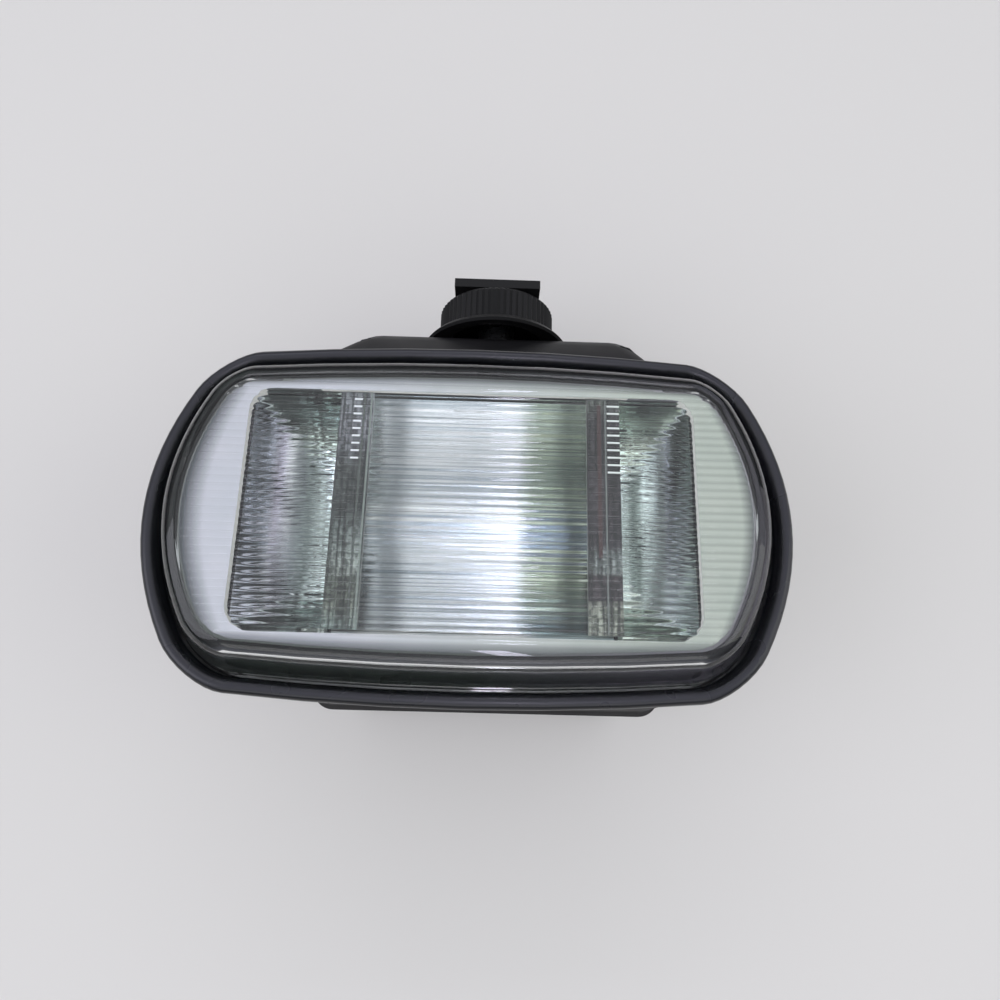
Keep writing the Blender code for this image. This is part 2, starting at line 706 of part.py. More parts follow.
def make_front_housing():
    head = inset(head_outline, HOUSING_STEP)
    grooved = inset(head_outline, HOUSING_STEP + HOUSING_GROOVE)
    body_in = inset(body_outline, 0.0008)
    straight_z = parting_z + HOUSING_STRAIGHT
    rise = housing_top_z - straight_z
    housing = loft(
        "front_housing",
        [
            (body_outline, parting_z),
            (body_outline, straight_z),
            (body_in, straight_z + rise * 0.06),
            (blend(body_in, head, 0.12), straight_z + rise * 0.20),
            (blend(body_in, head, 0.45), straight_z + rise * 0.45),
            (blend(body_in, head, 0.82), straight_z + rise * 0.68),
            (head, straight_z + rise * 0.80),
            (grooved, straight_z + rise * 0.82),
            (grooved, straight_z + rise * 0.85),
            (head, straight_z + rise * 0.87),
            (head, housing_top_z),
        ],
        black_shell,
        capped=False,
    )
    thicken = housing.modifiers.new("wall", "SOLIDIFY")
    thicken.thickness = HOUSING_WALL
    thicken.offset = -1.0
    bpy.context.view_layer.update()
    housing = evaluated(housing, black_shell)
    posts = [
        rod("post", POST_RADIUS, (x, y, parting_z), (x, y, parting_z + HOUSING_POST), None, cutters, 12)
        for x, y in post_places
    ]
    housing = unite(housing, posts)
    for x, y in post_places:
        boolean(housing, rod("bore", SCREW_RADIUS + GAP, (x, y, parting_z - BITE),
                             (x, y, parting_z + SCREW_REACH), None, cutters, 12))
    smooth(housing)


def make_bezel():
    bead_z = housing_top_z + BEAD_RISE - BEAD_RADIUS
    seat_z = housing_top_z + GAP
    lip_low_z = seat_z + WINDOW_FLANGE + GASKET_HEIGHT + 2 * GAP
    profile = [(HOUSING_STEP * 0.9, seat_z), (HOUSING_STEP * 0.3, seat_z + 0.0018), (0.0, seat_z + 0.0038)]
    profile += [
        (BEAD_RADIUS * (1 - cos(radians(angle))), bead_z + BEAD_RADIUS * sin(radians(angle)))
        for angle in range(0, 181, 30)
    ]
    profile += [
        (2 * BEAD_RADIUS, bead_z - 0.0012),
        (BEZEL_LIP, bead_z - 0.0014),
        (BEZEL_LIP, lip_low_z),
        (BEZEL_WALL, lip_low_z),
        (BEZEL_WALL, seat_z),
    ]
    loft("bezel_ring", [(inset(head_outline, d), z) for d, z in profile], black_trim, closed=True)


def groove(low_x, high_x, y, floor_z):
    """The cutter of a shallow rounded groove that runs along X."""
    half = (RIB_PITCH - RIB_LAND) / 2
    section = [(-half, -BITE), (half, -BITE)]
    section += [(half * share, RIB_DEPTH * (1 - share * share)) for share in (1, 0.5, -0.5, -1)]
    shape = bmesh.new()
    rings = [[shape.verts.new((x, y + across, floor_z + up)) for across, up in section] for x in (low_x, high_x)]
    for k in range(len(section)):
        after = (k + 1) % len(section)
        shape.faces.new((rings[0][k], rings[0][after], rings[1][after], rings[1][k]))
    shape.faces.new(rings[0])
    shape.faces.new(rings[1])
    bmesh.ops.recalc_face_normals(shape, faces=shape.faces)
    return from_bmesh("groove", shape, None, cutters)


def make_window():
    flange_z = housing_top_z + GAP
    inner_z = window_face_z - WINDOW_WALL
    foot = BEZEL_LIP + GAP
    crown = WINDOW_FACE_INSET
    outer = [
        (crown, window_face_z),
        (crown - 0.0016, window_face_z - 0.0004),
        (crown - 0.0027, window_face_z - 0.0014),
        (crown - 0.0034, window_face_z - 0.0030),
        (foot + 0.0004, window_face_z - WINDOW_WAIST),
        (foot, flange_z + WINDOW_FLANGE),
        (BEZEL_WALL + GAP, flange_z + WINDOW_FLANGE),
        (BEZEL_WALL + GAP, flange_z),
    ]
    hollow = [
        (foot + WINDOW_WALL, flange_z),
        (foot + WINDOW_WALL, window_face_z - WINDOW_WAIST),
        (crown - 0.0016, inner_z - 0.0018),
        (crown - 0.0006, inner_z),
    ]
    window = loft(
        "window", [(inset(head_outline, d), z) for d, z in outer + hollow], clear_plastic
    )
    room = inset(head_outline, crown - 0.0006)
    count = int((HEAD_HEIGHT / 2 - crown - RIB_PITCH) / RIB_PITCH)
    grooves = []
    for k in range(-count, count + 1):
        low_x, high_x = span_at(room, k * RIB_PITCH)
        grooves.append(groove(low_x + RIB_END_GAP, high_x - RIB_END_GAP, k * RIB_PITCH, inner_z))
    boolean(window, join_cutters("grooves", grooves))


def make_gasket():
    low = housing_top_z + 2 * GAP + WINDOW_FLANGE
    high = low + GASKET_HEIGHT
    outer = BEZEL_WALL + GAP
    inner = BEZEL_LIP
    profile = [(outer, low), (outer, high), (inner, high), (inner, low)]
    loft("window_gasket", [(inset(head_outline, d), z) for d, z in profile], black_rubber, closed=True)


def make_reflector_frame():
    flange_high = housing_top_z
    flange_low = flange_high - FRAME_FLANGE
    reach = HOUSING_STEP + HOUSING_WALL + FRAME_REACH
    edge = inset(head_outline, MASK_INSET)
    inner_edge = inset(head_outline, MASK_INSET + SKIRT_WALL)
    loft(
        "reflector_frame",
        [
            (mouth_outline, mask_top_z),
            (inset(edge, 0.0004), mask_top_z),
            (edge, mask_top_z - 0.0004),
            (edge, flange_high),
            (inset(head_outline, reach), flange_high),
            (inset(head_outline, reach), flange_low),
            (inner_edge, flange_low),
            (inner_edge, mask_low_z),
            (mouth_outline, mask_low_z),
        ],
        silver_mask,
        closed=True,
    )


def make_main_reflector():
    half = TROUGH_WIDTH / 2
    steps = 16
    rows = [-trough_half + 2 * trough_half * k / steps for k in range(steps + 1)]
    ends = (trough_x - half, trough_x + half)
    corners = [(x, y, trough_z + y * y / (4 * focal)) for y in rows for x in ends]
    faces = [(2 * k, 2 * k + 1, 2 * k + 3, 2 * k + 2) for k in range(steps)]
    trough = sheet("main_reflector", corners, faces, mirror_metal, SHEET, inward=(0, 1, 1))
    smooth(trough, 30)


def make_side_reflector(name, side):
    """A bowl with creased corners beside the trough, open to the front and to the trough over its cheek."""
    mouth_x = HEAD_SHIFT + side * (mouth_half - TROUGH_EDGE)
    cut_x = mouth_x - side * MOUTH_CUT
    mouth_y = trough_half
    inner_x = trough_x + side * cheek_x
    floor_x = inner_x + side * SIDE_FLOOR_WIDTH
    floor_y = SIDE_FLOOR_HEIGHT / 2
    rim = [
        (inner_x, mouth_y), (cut_x, mouth_y), (mouth_x, mouth_y - MOUTH_CUT),
        (mouth_x, MOUTH_CUT - mouth_y), (cut_x, -mouth_y), (inner_x, -mouth_y),
    ]
    floor = [
        (inner_x, floor_y), (floor_x, floor_y), (floor_x, floor_y),
        (floor_x, -floor_y), (floor_x, -floor_y), (inner_x, -floor_y),
    ]
    corners = []
    for step in range(BOWL_STEPS):
        share = step / BOWL_STEPS
        inwards = share + BOWL_ROUND * (1 - cos(share * pi / 2) - share)
        down = share + BOWL_ROUND * (sin(share * pi / 2) - share)
        z = lip_z + (side_floor_z - lip_z) * down
        corners += [
            (a[0] + (b[0] - a[0]) * inwards, a[1] + (b[1] - a[1]) * inwards, z)
            for a, b in zip(rim, floor)
        ]
    faces = []
    for step in range(BOWL_STEPS - 1):
        first = 6 * step
        faces += [(first + k, first + k + 1, first + k + 7, first + k + 6) for k in range(5)]
    last = 6 * (BOWL_STEPS - 1)
    base = 6 * BOWL_STEPS
    corners += [(*floor[k], side_floor_z) for k in (0, 1, 3, 5)]
    corners += [(inner_x, y, trough_z + SHEET) for y in (floor_y * 0.55, -floor_y * 0.55)]
    faces += [
        (last, last + 1, base + 1, base), (last + 1, last + 2, base + 1),
        (last + 2, last + 3, base + 2, base + 1), (last + 3, last + 4, base + 2),
        (last + 4, last + 5, base + 3, base + 2), (base, base + 1, base + 2, base + 3),
        (base, base + 3, base + 5, base + 4),
    ]
    bowl = sheet(name, corners, faces, mirror_metal, SHEET, inward=(0, -1, 0.4))
    hole = rod(
        name + "_tube_hole", TUBE_RADIUS + GAP, (inner_x - side * 4 * BITE, 0, tube_z),
        (floor_x + side * BITE, 0, tube_z), None, cutters, 20,
    )
    boolean(bowl, hole)
    smooth(bowl, 24)


def make_mouth_straps():
    """Across the mouth, one over each joint between the trough and a side reflector."""
    half = MOUTH_HEIGHT / 2 - STRAP_END_GAP
    low_z = lip_z + GAP
    for word, side in SIDES:
        low_x, high_x = sorted(trough_x + side * reach for reach in (STRAP_NEAR, STRAP_FAR))
        box(f"{word}_mouth_strap", (low_x, -half, low_z), (high_x, half, low_z + STRAP_THICKNESS),
            smoke_plastic)


def make_tube():
    half = TUBE_LENGTH / 2
    glass = turned(
        "flash_tube",
        [(0, half), (TUBE_RADIUS * 0.7, half), (TUBE_RADIUS, half - 0.0008),
         (TUBE_RADIUS, -half + 0.0008), (TUBE_RADIUS * 0.7, -half), (0, -half)],
        (trough_x, 0, tube_z), (1, 0, 0), tube_glass, 20,
    )
    smooth(glass)
    start = cheek_x + SHEET + GAP
    bore = TUBE_RADIUS + GAP
    for word, side in SIDES:
        near = trough_x + side * (half + GAP)
        rod(f"{word}_electrode", ELECTRODE_RADIUS, (near, 0, tube_z),
            (near + side * ELECTRODE_LENGTH, 0, tube_z), steel, sides=14)
        turned(
            f"{word}_tube_grommet",
            [(GROMMET_RADIUS, GROMMET_LENGTH / 2), (GROMMET_RADIUS, -GROMMET_LENGTH / 2),
             (bore, -GROMMET_LENGTH / 2), (bore, GROMMET_LENGTH / 2)],
            (trough_x + side * (start + GROMMET_LENGTH / 2), 0, tube_z), (1, 0, 0),
            pale_silicone, 20, ring=True,
        )


def make_tube_leads():
    """One lead from each electrode, out, down the side of the body and in to the board."""
    low = board_top + GAP
    drop_y = -0.0012
    shoulder_z = housing_top_z - HOUSING_HEIGHT / 2
    foot_x = inner_side - LEAD_TO_WALL
    for word, side in SIDES:
        tip = trough_x + side * (TUBE_LENGTH / 2 + 2 * GAP + ELECTRODE_LENGTH)
        points = [(tip, 0.0, tube_z)]
        points += [
            (tip + side * LEAD_BEND * sin(radians(a)), drop_y * a / 90,
             tube_z - LEAD_BEND * (1 - cos(radians(a))))
            for a in (30, 60)
        ]
        points += [(side * foot_x, drop_y, shoulder_z - LEAD_KNEE), (side * foot_x, drop_y, low)]
        wire(f"{word}_tube_lead", points, LEAD_RADIUS, wire_sleeve)


def make_light_sensor():
    wall_y = HEAD_HEIGHT / 2 - (BEZEL_LIP + GAP + WINDOW_WALL) - GAP
    width, depth, height = SENSOR_SIZE
    high_z = window_face_z - WINDOW_WAIST
    low = (HEAD_SHIFT - width / 2, wall_y - depth, high_z - height)
    box("light_sensor", low, (HEAD_SHIFT + width / 2, wall_y, high_z), board_black)


def make_board():
    """The circuit board with what is soldered to it: switches below, small parts on top."""
    low = (-board_half, board_low_y, BOARD_Z)
    high = (board_half, board_high_y, board_top)
    board = box("main_board", low, high, green_board)
    middle = BOARD_Z + BOARD_THICKNESS / 2
    tall_z = board_top + TALL_PART_HEIGHT
    resistor_z = board_top + RESISTOR_RADIUS / 2
    switch_x, switch_y = SWITCH_AT[0] + SWITCH_TRAVEL / 2, SWITCH_AT[1]
    half_x, half_y = SLIDE_SWITCH_HALF
    key_x, key_y = BUTTON_AT
    key = KEY_SWITCH_HALF
    pieces = [
        box("slide_switch", (switch_x - half_x, switch_y - half_y, switch_top_z()),
            (switch_x + half_x, switch_y + half_y, middle), None, cutters),
        box("key_switch", (key_x - key, key_y - key, button_seat_z() + BUTTON_TRAVEL + GAP),
            (key_x + key, key_y + key, middle), None, cutters),
        rod("dial_control", DIAL_CONTROL_RADIUS, (*DIAL_AT, dial_control_z()), (*DIAL_AT, middle),
            None, cutters, 20),
        box("thyristor", (board_half - THYRISTOR_INSETS[0], THYRISTOR_Y[0], middle),
            (board_half - THYRISTOR_INSETS[1], THYRISTOR_Y[1], tall_z), None, cutters),
        box("film_capacitor", (FILM_CAPACITOR_INSETS[0] - board_half, FILM_CAPACITOR_Y[0], middle),
            (FILM_CAPACITOR_INSETS[1] - board_half, FILM_CAPACITOR_Y[1], tall_z), None, cutters),
    ]
    for x in RESISTOR_PLACES:
        start, end = [(x, y, resistor_z) for y in RESISTOR_ENDS]
        pieces.append(rod("resistor", RESISTOR_RADIUS, start, end, None, cutters, 12))
    board = unite(board, pieces)
    for number, (x, y) in enumerate(board_screw_places, 1):
        boolean(board, rod("board_hole", BOARD_SCREW_RADIUS + GAP, (x, y, BOARD_Z - BITE),
                           (x, y, board_top + BITE), None, cutters, 12))
        screw(f"board_screw_{number}", (x, y, board_top + GAP), (0, 0, 1), BOARD_SCREW_RADIUS,
              BOARD_SCREW_HEAD_RADIUS, BOARD_SCREW_HEAD_HEIGHT, BOARD_SCREW_LENGTH)


def screw(name, seat, up, shank, head_radius, head_height, length):
    """A pan head on a plain shank. Seat is the middle of the head's underside, up points out of the head."""
    return turned(
        name,
        [(0, head_height), (head_radius * 0.75, head_height), (head_radius, head_height * 0.45),
         (head_radius, 0), (shank, 0), (shank, -length + shank), (shank * 0.3, -length), (0, -length)],
        seat, up, steel, 12,
    )


def dial_control_z():
    return panel_z + PANEL_THICKNESS + 0.0026


def switch_top_z():
    return panel_z + PANEL_THICKNESS + 0.0024


def button_seat_z():
    return panel_z + PANEL_THICKNESS + 2 * GAP + 0.0008


def make_capacitor():
    z = board_top + GAP + CAPACITOR_RADIUS
    rim = 0.0012
    turned(
        "main_capacitor",
        [(0, capacitor_length), (CAPACITOR_RADIUS - rim, capacitor_length),
         (CAPACITOR_RADIUS, capacitor_length - rim), (CAPACITOR_RADIUS, 0.0040),
         (CAPACITOR_RADIUS - 0.0007, 0.0033), (CAPACITOR_RADIUS, 0.0026), (CAPACITOR_RADIUS, rim),
         (CAPACITOR_RADIUS - rim, 0), (0, 0)],
        (capacitor_x, CAPACITOR_Y, z), (1, 0, 0), can_sleeve, 24,
    )


def make_transformer():
    """A ring of ferrite on edge with its winding through the middle."""
    x = capacitor_x + capacitor_length + 0.0012
    low = (x, CORE_Y - CORE_LENGTH / 2, board_top + GAP)
    high = (x + CORE_WIDTH, CORE_Y + CORE_LENGTH / 2, board_top + GAP + CORE_HEIGHT)
    core = box("transformer_core", low, high, ferrite)
    hole_low = (low[0] - BITE, low[1] + CORE_BAR, low[2] + CORE_BAR)
    hole_high = (high[0] + BITE, high[1] - CORE_BAR, high[2] - CORE_BAR)
    boolean(core, box("core_hole", hole_low, hole_high, None, cutters))
    winding = box(
        "transformer_winding",
        (low[0] - GAP, hole_low[1] + GAP, hole_low[2] + GAP),
        (high[0] + GAP, hole_high[1] - GAP, hole_high[2] - GAP), tape_yellow,
    )
    bevel(winding, 0.0008)


def make_trigger_coil():
    x, y = board_half - COIL_INSET, COIL_Y
    z = board_top + GAP
    turned(
        "trigger_coil",
        [(0, COIL_HEIGHT), (COIL_RADIUS, COIL_HEIGHT), (COIL_RADIUS, COIL_HEIGHT - COIL_RIM),
         (COIL_RADIUS - COIL_RIM / 2, COIL_HEIGHT - COIL_RIM), (COIL_RADIUS - COIL_RIM / 2, COIL_RIM),
         (COIL_RADIUS, COIL_RIM), (COIL_RADIUS, 0), (0, 0)],
        (x, y, z), (0, 0, 1), tape_yellow, 20,
    )


def make_battery_tray():
    tray = box(
        "battery_tray", (tray_low_x, tray_low_y, tray_low_z),
        (tray_high_x, tray_low_y + tray_size, tray_low_z + tray_size), black_shell,
    )
    boolean(tray, box(
        "tray_bay", (tray_low_x + TRAY_WALL, bay_low_y, bay_low_z),
        (tray_high_x + BITE, bay_low_y + bay_size, bay_low_z + bay_size), None, cutters,
    ))


def cell_places():
    """Row centres with the way each cell's nub points."""
    return [
        (cell_rows_y[0], cell_rows_z[0], 1), (cell_rows_y[1], cell_rows_z[0], -1),
        (cell_rows_y[0], cell_rows_z[1], -1), (cell_rows_y[1], cell_rows_z[1], 1),
    ]


def make_cells():
    radius = CELL_DIAMETER / 2
    can = CELL_LENGTH - CELL_NUB_LENGTH
    for number, (y, z, way) in enumerate(cell_places(), 1):
        start = nub_high_x - CELL_LENGTH if way > 0 else nub_low_x + CELL_LENGTH
        cell = turned(
            f"cell_{number}",
            [(0, CELL_LENGTH), (CELL_NUB_RADIUS, CELL_LENGTH), (CELL_NUB_RADIUS, can),
             (radius - 0.0006, can), (radius, can - 0.0006), (radius, 0.0006), (radius - 0.0006, 0), (0, 0)],
            (start, y, z), (way, 0, 0), cell_sleeve, 20,
        )
        smooth(cell)


def make_contacts(word, plate_x, way, nub_way):
    """A plate over each pair of cells, with a conical spring for the cell whose flat end faces it."""
    margin = 0.0015
    steps = int(SPRING_TURNS * 9)
    contacts = []
    start_x = plate_x + (CONTACT_SHEET if way > 0 else 0)
    for number, row_z in enumerate(cell_rows_z, 1):
        half = CELL_DIAMETER / 2 - margin
        plate = box(f"{word}_contact_{number}", (plate_x, cell_rows_y[0] - half, row_z - half),
                    (plate_x + CONTACT_SHEET, cell_rows_y[1] + half, row_z + half), nickel)
        y = next(y for y, z, cell_way in cell_places() if z == row_z and cell_way == nub_way)
        points = []
        for k in range(steps + 1):
            share = k / steps
            radius = SPRING_RADIUS * (1 - 0.5 * share)
            turn = 2 * pi * SPRING_TURNS * share
            lift = SPRING_WIRE * 0.6 + (SPRING_LENGTH - GAP - 1.6 * SPRING_WIRE) * share
            points.append((start_x + way * lift, y + radius * cos(turn), row_z + radius * sin(turn)))
        spring = wire("spring", points, SPRING_WIRE, nickel, 0)
        bpy.context.view_layer.update()
        spring = evaluated(spring, nickel, cutters)
        contacts.append(unite(plate, [spring]))
    return contacts


def make_door():
    door = box(
        "battery_door", (inner_side, door_low_y + SLIDE_GAP, DOOR_HINGE_Z),
        (body_side, door_high_y - SLIDE_GAP, door_top_z), black_shell,
    )
    barrel = rod(
        "barrel", DOOR_BARREL_RADIUS, (hinge_x, door_low_y + SLIDE_GAP, DOOR_HINGE_Z),
        (hinge_x, door_high_y - SLIDE_GAP, DOOR_HINGE_Z), None, cutters, 20,
    )
    door = unite(door, [barrel])
    middle_y = (door_low_y + door_high_y) / 2
    pocket_depth = LATCH_THICKNESS + GAP
    latch_low = door_top_z - LATCH_TO_TOP - LATCH_LENGTH
    latch_start, latch_end = middle_y - LATCH_WIDTH / 2, middle_y + LATCH_WIDTH / 2
    boolean(door, box(
        "latch_pocket",
        (body_side - pocket_depth, latch_start - SLIDE_GAP, latch_low - LATCH_TRAVEL - SLIDE_GAP),
        (body_side + BITE, latch_end + SLIDE_GAP, door_top_z + BITE), None, cutters,
    ))
    boolean(door, rod(
        "pin_bore", DOOR_PIN_RADIUS + GAP, (hinge_x, door_low_y, DOOR_HINGE_Z),
        (hinge_x, door_high_y, DOOR_HINGE_Z), None, cutters, 12,
    ))
    rod(
        "door_hinge_pin", DOOR_PIN_RADIUS, (hinge_x, door_low_y - DOOR_PIN_REACH, DOOR_HINGE_Z),
        (hinge_x, door_high_y + DOOR_PIN_REACH, DOOR_HINGE_Z), steel, sides=12,
    )
    latch = box(
        "door_latch", (body_side - LATCH_THICKNESS, latch_start, latch_low),
        (body_side, latch_end, latch_low + LATCH_LENGTH), black_trim,
    )
    tongue = box(
        "tongue", (body_side - LATCH_THICKNESS, latch_start + LATCH_SHOULDER, latch_low + LATCH_LENGTH / 2),
        (body_side - GAP, latch_end - LATCH_SHOULDER, door_top_z + LATCH_TONGUE), None, cutters,
    )
    ridges = []
    for k in range(RIDGE_COUNT):
        ridge_z = latch_low + RIDGE_PITCH * (k + 0.75)
        ridges.append(box(
            "ridge", (body_side - LATCH_THICKNESS / 2, latch_start + LATCH_SHOULDER / 2, ridge_z),
            (body_side + LATCH_RIDGE, latch_end - LATCH_SHOULDER / 2, ridge_z + RIDGE_WIDTH), None, cutters,
        ))
    latch = unite(latch, [tongue] + ridges)
    contacts = make_contacts("door", door_plates_x, -1, -1)
    hang("battery_door_axis", (hinge_x, middle_y, DOOR_HINGE_Z), [door, *contacts])
    hang("door_latch_axis", (body_side, middle_y, latch_low), [latch])


def foot_screw_places():
    return [(-FOOT_SCREW_X, FOOT_Z - FOOT_SCREW_Z), (FOOT_SCREW_X, FOOT_Z + FOOT_SCREW_Z)]


def make_foot():
    low_y = bracket_high_y - BRACKET_THICKNESS
    bracket = box(
        "foot_bracket", (-BRACKET_WIDTH / 2, low_y, FOOT_Z - BRACKET_HEIGHT / 2),
        (BRACKET_WIDTH / 2, bracket_high_y, FOOT_Z + BRACKET_HEIGHT / 2), steel,
    )
    boolean(bracket, rod("stem_hole", STEM_RADIUS + GAP, (0, low_y - BITE, FOOT_Z),
                         (0, bracket_high_y + BITE, FOOT_Z), None, cutters, 32))
    for number, (x, z) in enumerate(foot_screw_places(), 1):
        boolean(bracket, rod("screw_hole", FOOT_SCREW_RADIUS + GAP, (x, low_y - BITE, z),
                             (x, bracket_high_y + BITE, z), None, cutters, 12))
        reach = bracket_high_y - low_y + GAP + SIDE_WALL * 0.5
        screw(f"foot_screw_{number}", (x, low_y - GAP, z), (0, -1, 0), FOOT_SCREW_RADIUS,
              FOOT_SCREW_HEAD_RADIUS, FOOT_SCREW_HEAD_HEIGHT, reach + GAP)
    base = stem_flange_high_y - STEM_FLANGE_THICKNESS
    top = plate_y - GAP
    spigot_top = plate_y + FOOT_THICKNESS * 0.6
    turned(
        "foot_stem",
        [(STEM_SPIGOT, spigot_top - base), (STEM_SPIGOT, top - base), (STEM_RADIUS, top - base),
         (STEM_RADIUS, STEM_FLANGE_THICKNESS), (STEM_FLANGE_RADIUS, STEM_FLANGE_THICKNESS),
         (STEM_FLANGE_RADIUS, 0), (STEM_BORE, 0), (STEM_BORE, spigot_top - base)],
        (0, base, FOOT_Z), (0, 1, 0), steel, 24, ring=True,
    )

    half_width = FOOT_WIDTH / 2
    half_length = FOOT_LENGTH / 2
    cut = FOOT_CHAMFER
    curve = bpy.data.curves.new("foot_plate", "CURVE")
    curve.dimensions = "2D"
    curve.fill_mode = "BOTH"
    curve.extrude = FOOT_THICKNESS / 2
    spline = curve.splines.new("POLY")
    corners = [
        (-half_width, -half_length + cut), (-half_width + cut, -half_length),
        (half_width - cut, -half_length), (half_width, -half_length + cut),
        (half_width, half_length), (-half_width, half_length),
    ]
    spline.points.add(len(corners) - 1)
    for point, (x, z) in zip(spline.points, corners):
        point.co = (x, z, 0.0, 1.0)
    spline.use_cyclic_u = True
    flat = bpy.data.objects.new("foot_plate", curve)
    parts.objects.link(flat)
    flat.rotation_euler = (pi / 2, 0, 0)
    flat.location = (0, (plate_y + sole_y) / 2, FOOT_Z)
    bpy.context.view_layer.update()
    plate = evaluated(flat, black_trim)
    boolean(plate, rod("spigot_hole", STEM_SPIGOT + GAP, (0, plate_y - BITE, FOOT_Z),
                       (0, plate_y + FOOT_THICKNESS * 0.75, FOOT_Z), None, cutters, 32))
    boolean(plate, rod("contact_hole", STEM_BORE, (0, plate_y, FOOT_Z), (0, sole_y + BITE, FOOT_Z),
                       None, cutters, 24))
    pin_z = FOOT_Z + LOCK_PIN_OFFSET
    boolean(plate, rod("pin_hole", LOCK_PIN_RADIUS + GAP, (0, plate_y - BITE, pin_z),
                       (0, sole_y + BITE, pin_z), None, cutters, 12))
    smooth(plate)

    sleeve_radius = STEM_BORE - GAP
    bore = sleeve_radius - INSULATOR_WALL
    floor = CONTACT_FLOOR
    sleeve_low = base + 2 * STEM_FLANGE_THICKNESS
    sleeve_top = sole_y - 0.0002
    turned(
        "contact_insulator",
        [(0, floor), (bore, floor), (bore, sleeve_top - sleeve_low), (sleeve_radius, sleeve_top - sleeve_low),
         (sleeve_radius, 0), (0, 0)],
        (0, sleeve_low, FOOT_Z), (0, 1, 0), white_plastic, 20,
    )
    tip = sole_y + CONTACT_PROUD
    contact_low = tip - CONTACT_LENGTH
    contact = turned(
        "centre_contact",
        [(0, CONTACT_LENGTH), (CONTACT_RADIUS * 0.6, CONTACT_LENGTH),
         (CONTACT_RADIUS, CONTACT_LENGTH - CONTACT_RADIUS * 0.4), (CONTACT_RADIUS, 0), (0, 0)],
        (0, contact_low, FOOT_Z), (0, 1, 0), nickel, 16,
    )
    hang("centre_contact_axis", (0, contact_low, FOOT_Z), [contact])
    spring_low = sleeve_low + floor + GAP
    spring_high = contact_low - CONTACT_TRAVEL - GAP
    steps = CONTACT_COIL_TURNS * 8
    coil = bore - GAP - CONTACT_COIL_WIRE
    points = []
    for k in range(steps + 1):
        turn = 2 * pi * CONTACT_COIL_TURNS * k / steps
        lift = CONTACT_COIL_WIRE + (spring_high - spring_low - 2 * CONTACT_COIL_WIRE) * k / steps
        points.append((coil * cos(turn), spring_low + lift, FOOT_Z + coil * sin(turn)))
    wire("contact_spring", points, CONTACT_COIL_WIRE, steel, 0)


def make_lock_wheel():
    height = WHEEL_HEIGHT
    flange = WHEEL_FLANGE_HEIGHT
    web_low = height - WHEEL_WEB
    recess = WASHER_THICKNESS + GAP
    bore = STEM_RADIUS + GAP
    wall = WHEEL_WALL
    round_edge = 0.0006
    knurl = [(WHEEL_RADIUS, height - round_edge), (WHEEL_RADIUS, flange + round_edge)]
    profile = [
        (WASHER_RADIUS + GAP, height), (WHEEL_RADIUS - round_edge, height), *knurl,
        (WHEEL_RADIUS + 0.0002, flange + 0.0002), (WHEEL_FLANGE_RADIUS - 0.0012, flange - 0.0004),
        (WHEEL_FLANGE_RADIUS - 0.0003, flange - 0.0013), (WHEEL_FLANGE_RADIUS, 0.0005),
        (WHEEL_FLANGE_RADIUS - 0.0004, 0), (WHEEL_FLANGE_RADIUS - wall, 0),
        (WHEEL_FLANGE_RADIUS - wall - 0.0003, flange * 0.55), (WHEEL_RADIUS - wall, flange * 0.8),
        (WHEEL_RADIUS - wall, web_low), (bore, web_low), (bore, height - recess),
        (WASHER_RADIUS + GAP, height - recess),
    ]
    wheel = turned("lock_wheel", profile, (0, wheel_low_y, FOOT_Z), (0, 1, 0), black_trim,
                   2 * WHEEL_TEETH, ring=True)
    bpy.context.view_layer.update()
    wheel = evaluated(wheel, black_trim)
    for vert in wheel.data.vertices:
        x, y, z = vert.co
        radius = sqrt(x * x + y * y)
        on_knurl = any(abs(radius - r) < 1e-5 and abs(z - h) < 1e-5 for r, h in knurl)
        if on_knurl and sector(x, y) % 2:
            vert.co = (x * (1 - WHEEL_TOOTH / radius), y * (1 - WHEEL_TOOTH / radius), z)
    smooth(wheel, 30)

    washer = turned(
        "pressure_washer",
        [(WASHER_RADIUS, WASHER_THICKNESS), (WASHER_RADIUS, 0), (bore, 0), (bore, WASHER_THICKNESS)],
        (0, washer_low_y, FOOT_Z), (0, 1, 0), steel, 24, ring=True,
    )
    pin_z = FOOT_Z + LOCK_PIN_OFFSET
    pin_low = wheel_high_y + GAP
    pin = turned(
        "lock_pin",
        [(0, LOCK_PIN_LENGTH), (LOCK_PIN_RADIUS * 0.5, LOCK_PIN_LENGTH),
         (LOCK_PIN_RADIUS, LOCK_PIN_LENGTH - LOCK_PIN_RADIUS / 2), (LOCK_PIN_RADIUS, 0), (0, 0)],
        (0, pin_low, pin_z), (0, 1, 0), steel, 12,
    )
    hang("lock_slider_axis", (0, washer_low_y, FOOT_Z), [washer, pin])
    hang("lock_wheel_axis", (0, wheel_low_y, FOOT_Z), [wheel])


def sector(x, y):
    """Which of the wheel's steps a point on it lies at."""
    return round(atan2(y, x) / (2 * pi) * 2 * WHEEL_TEETH)


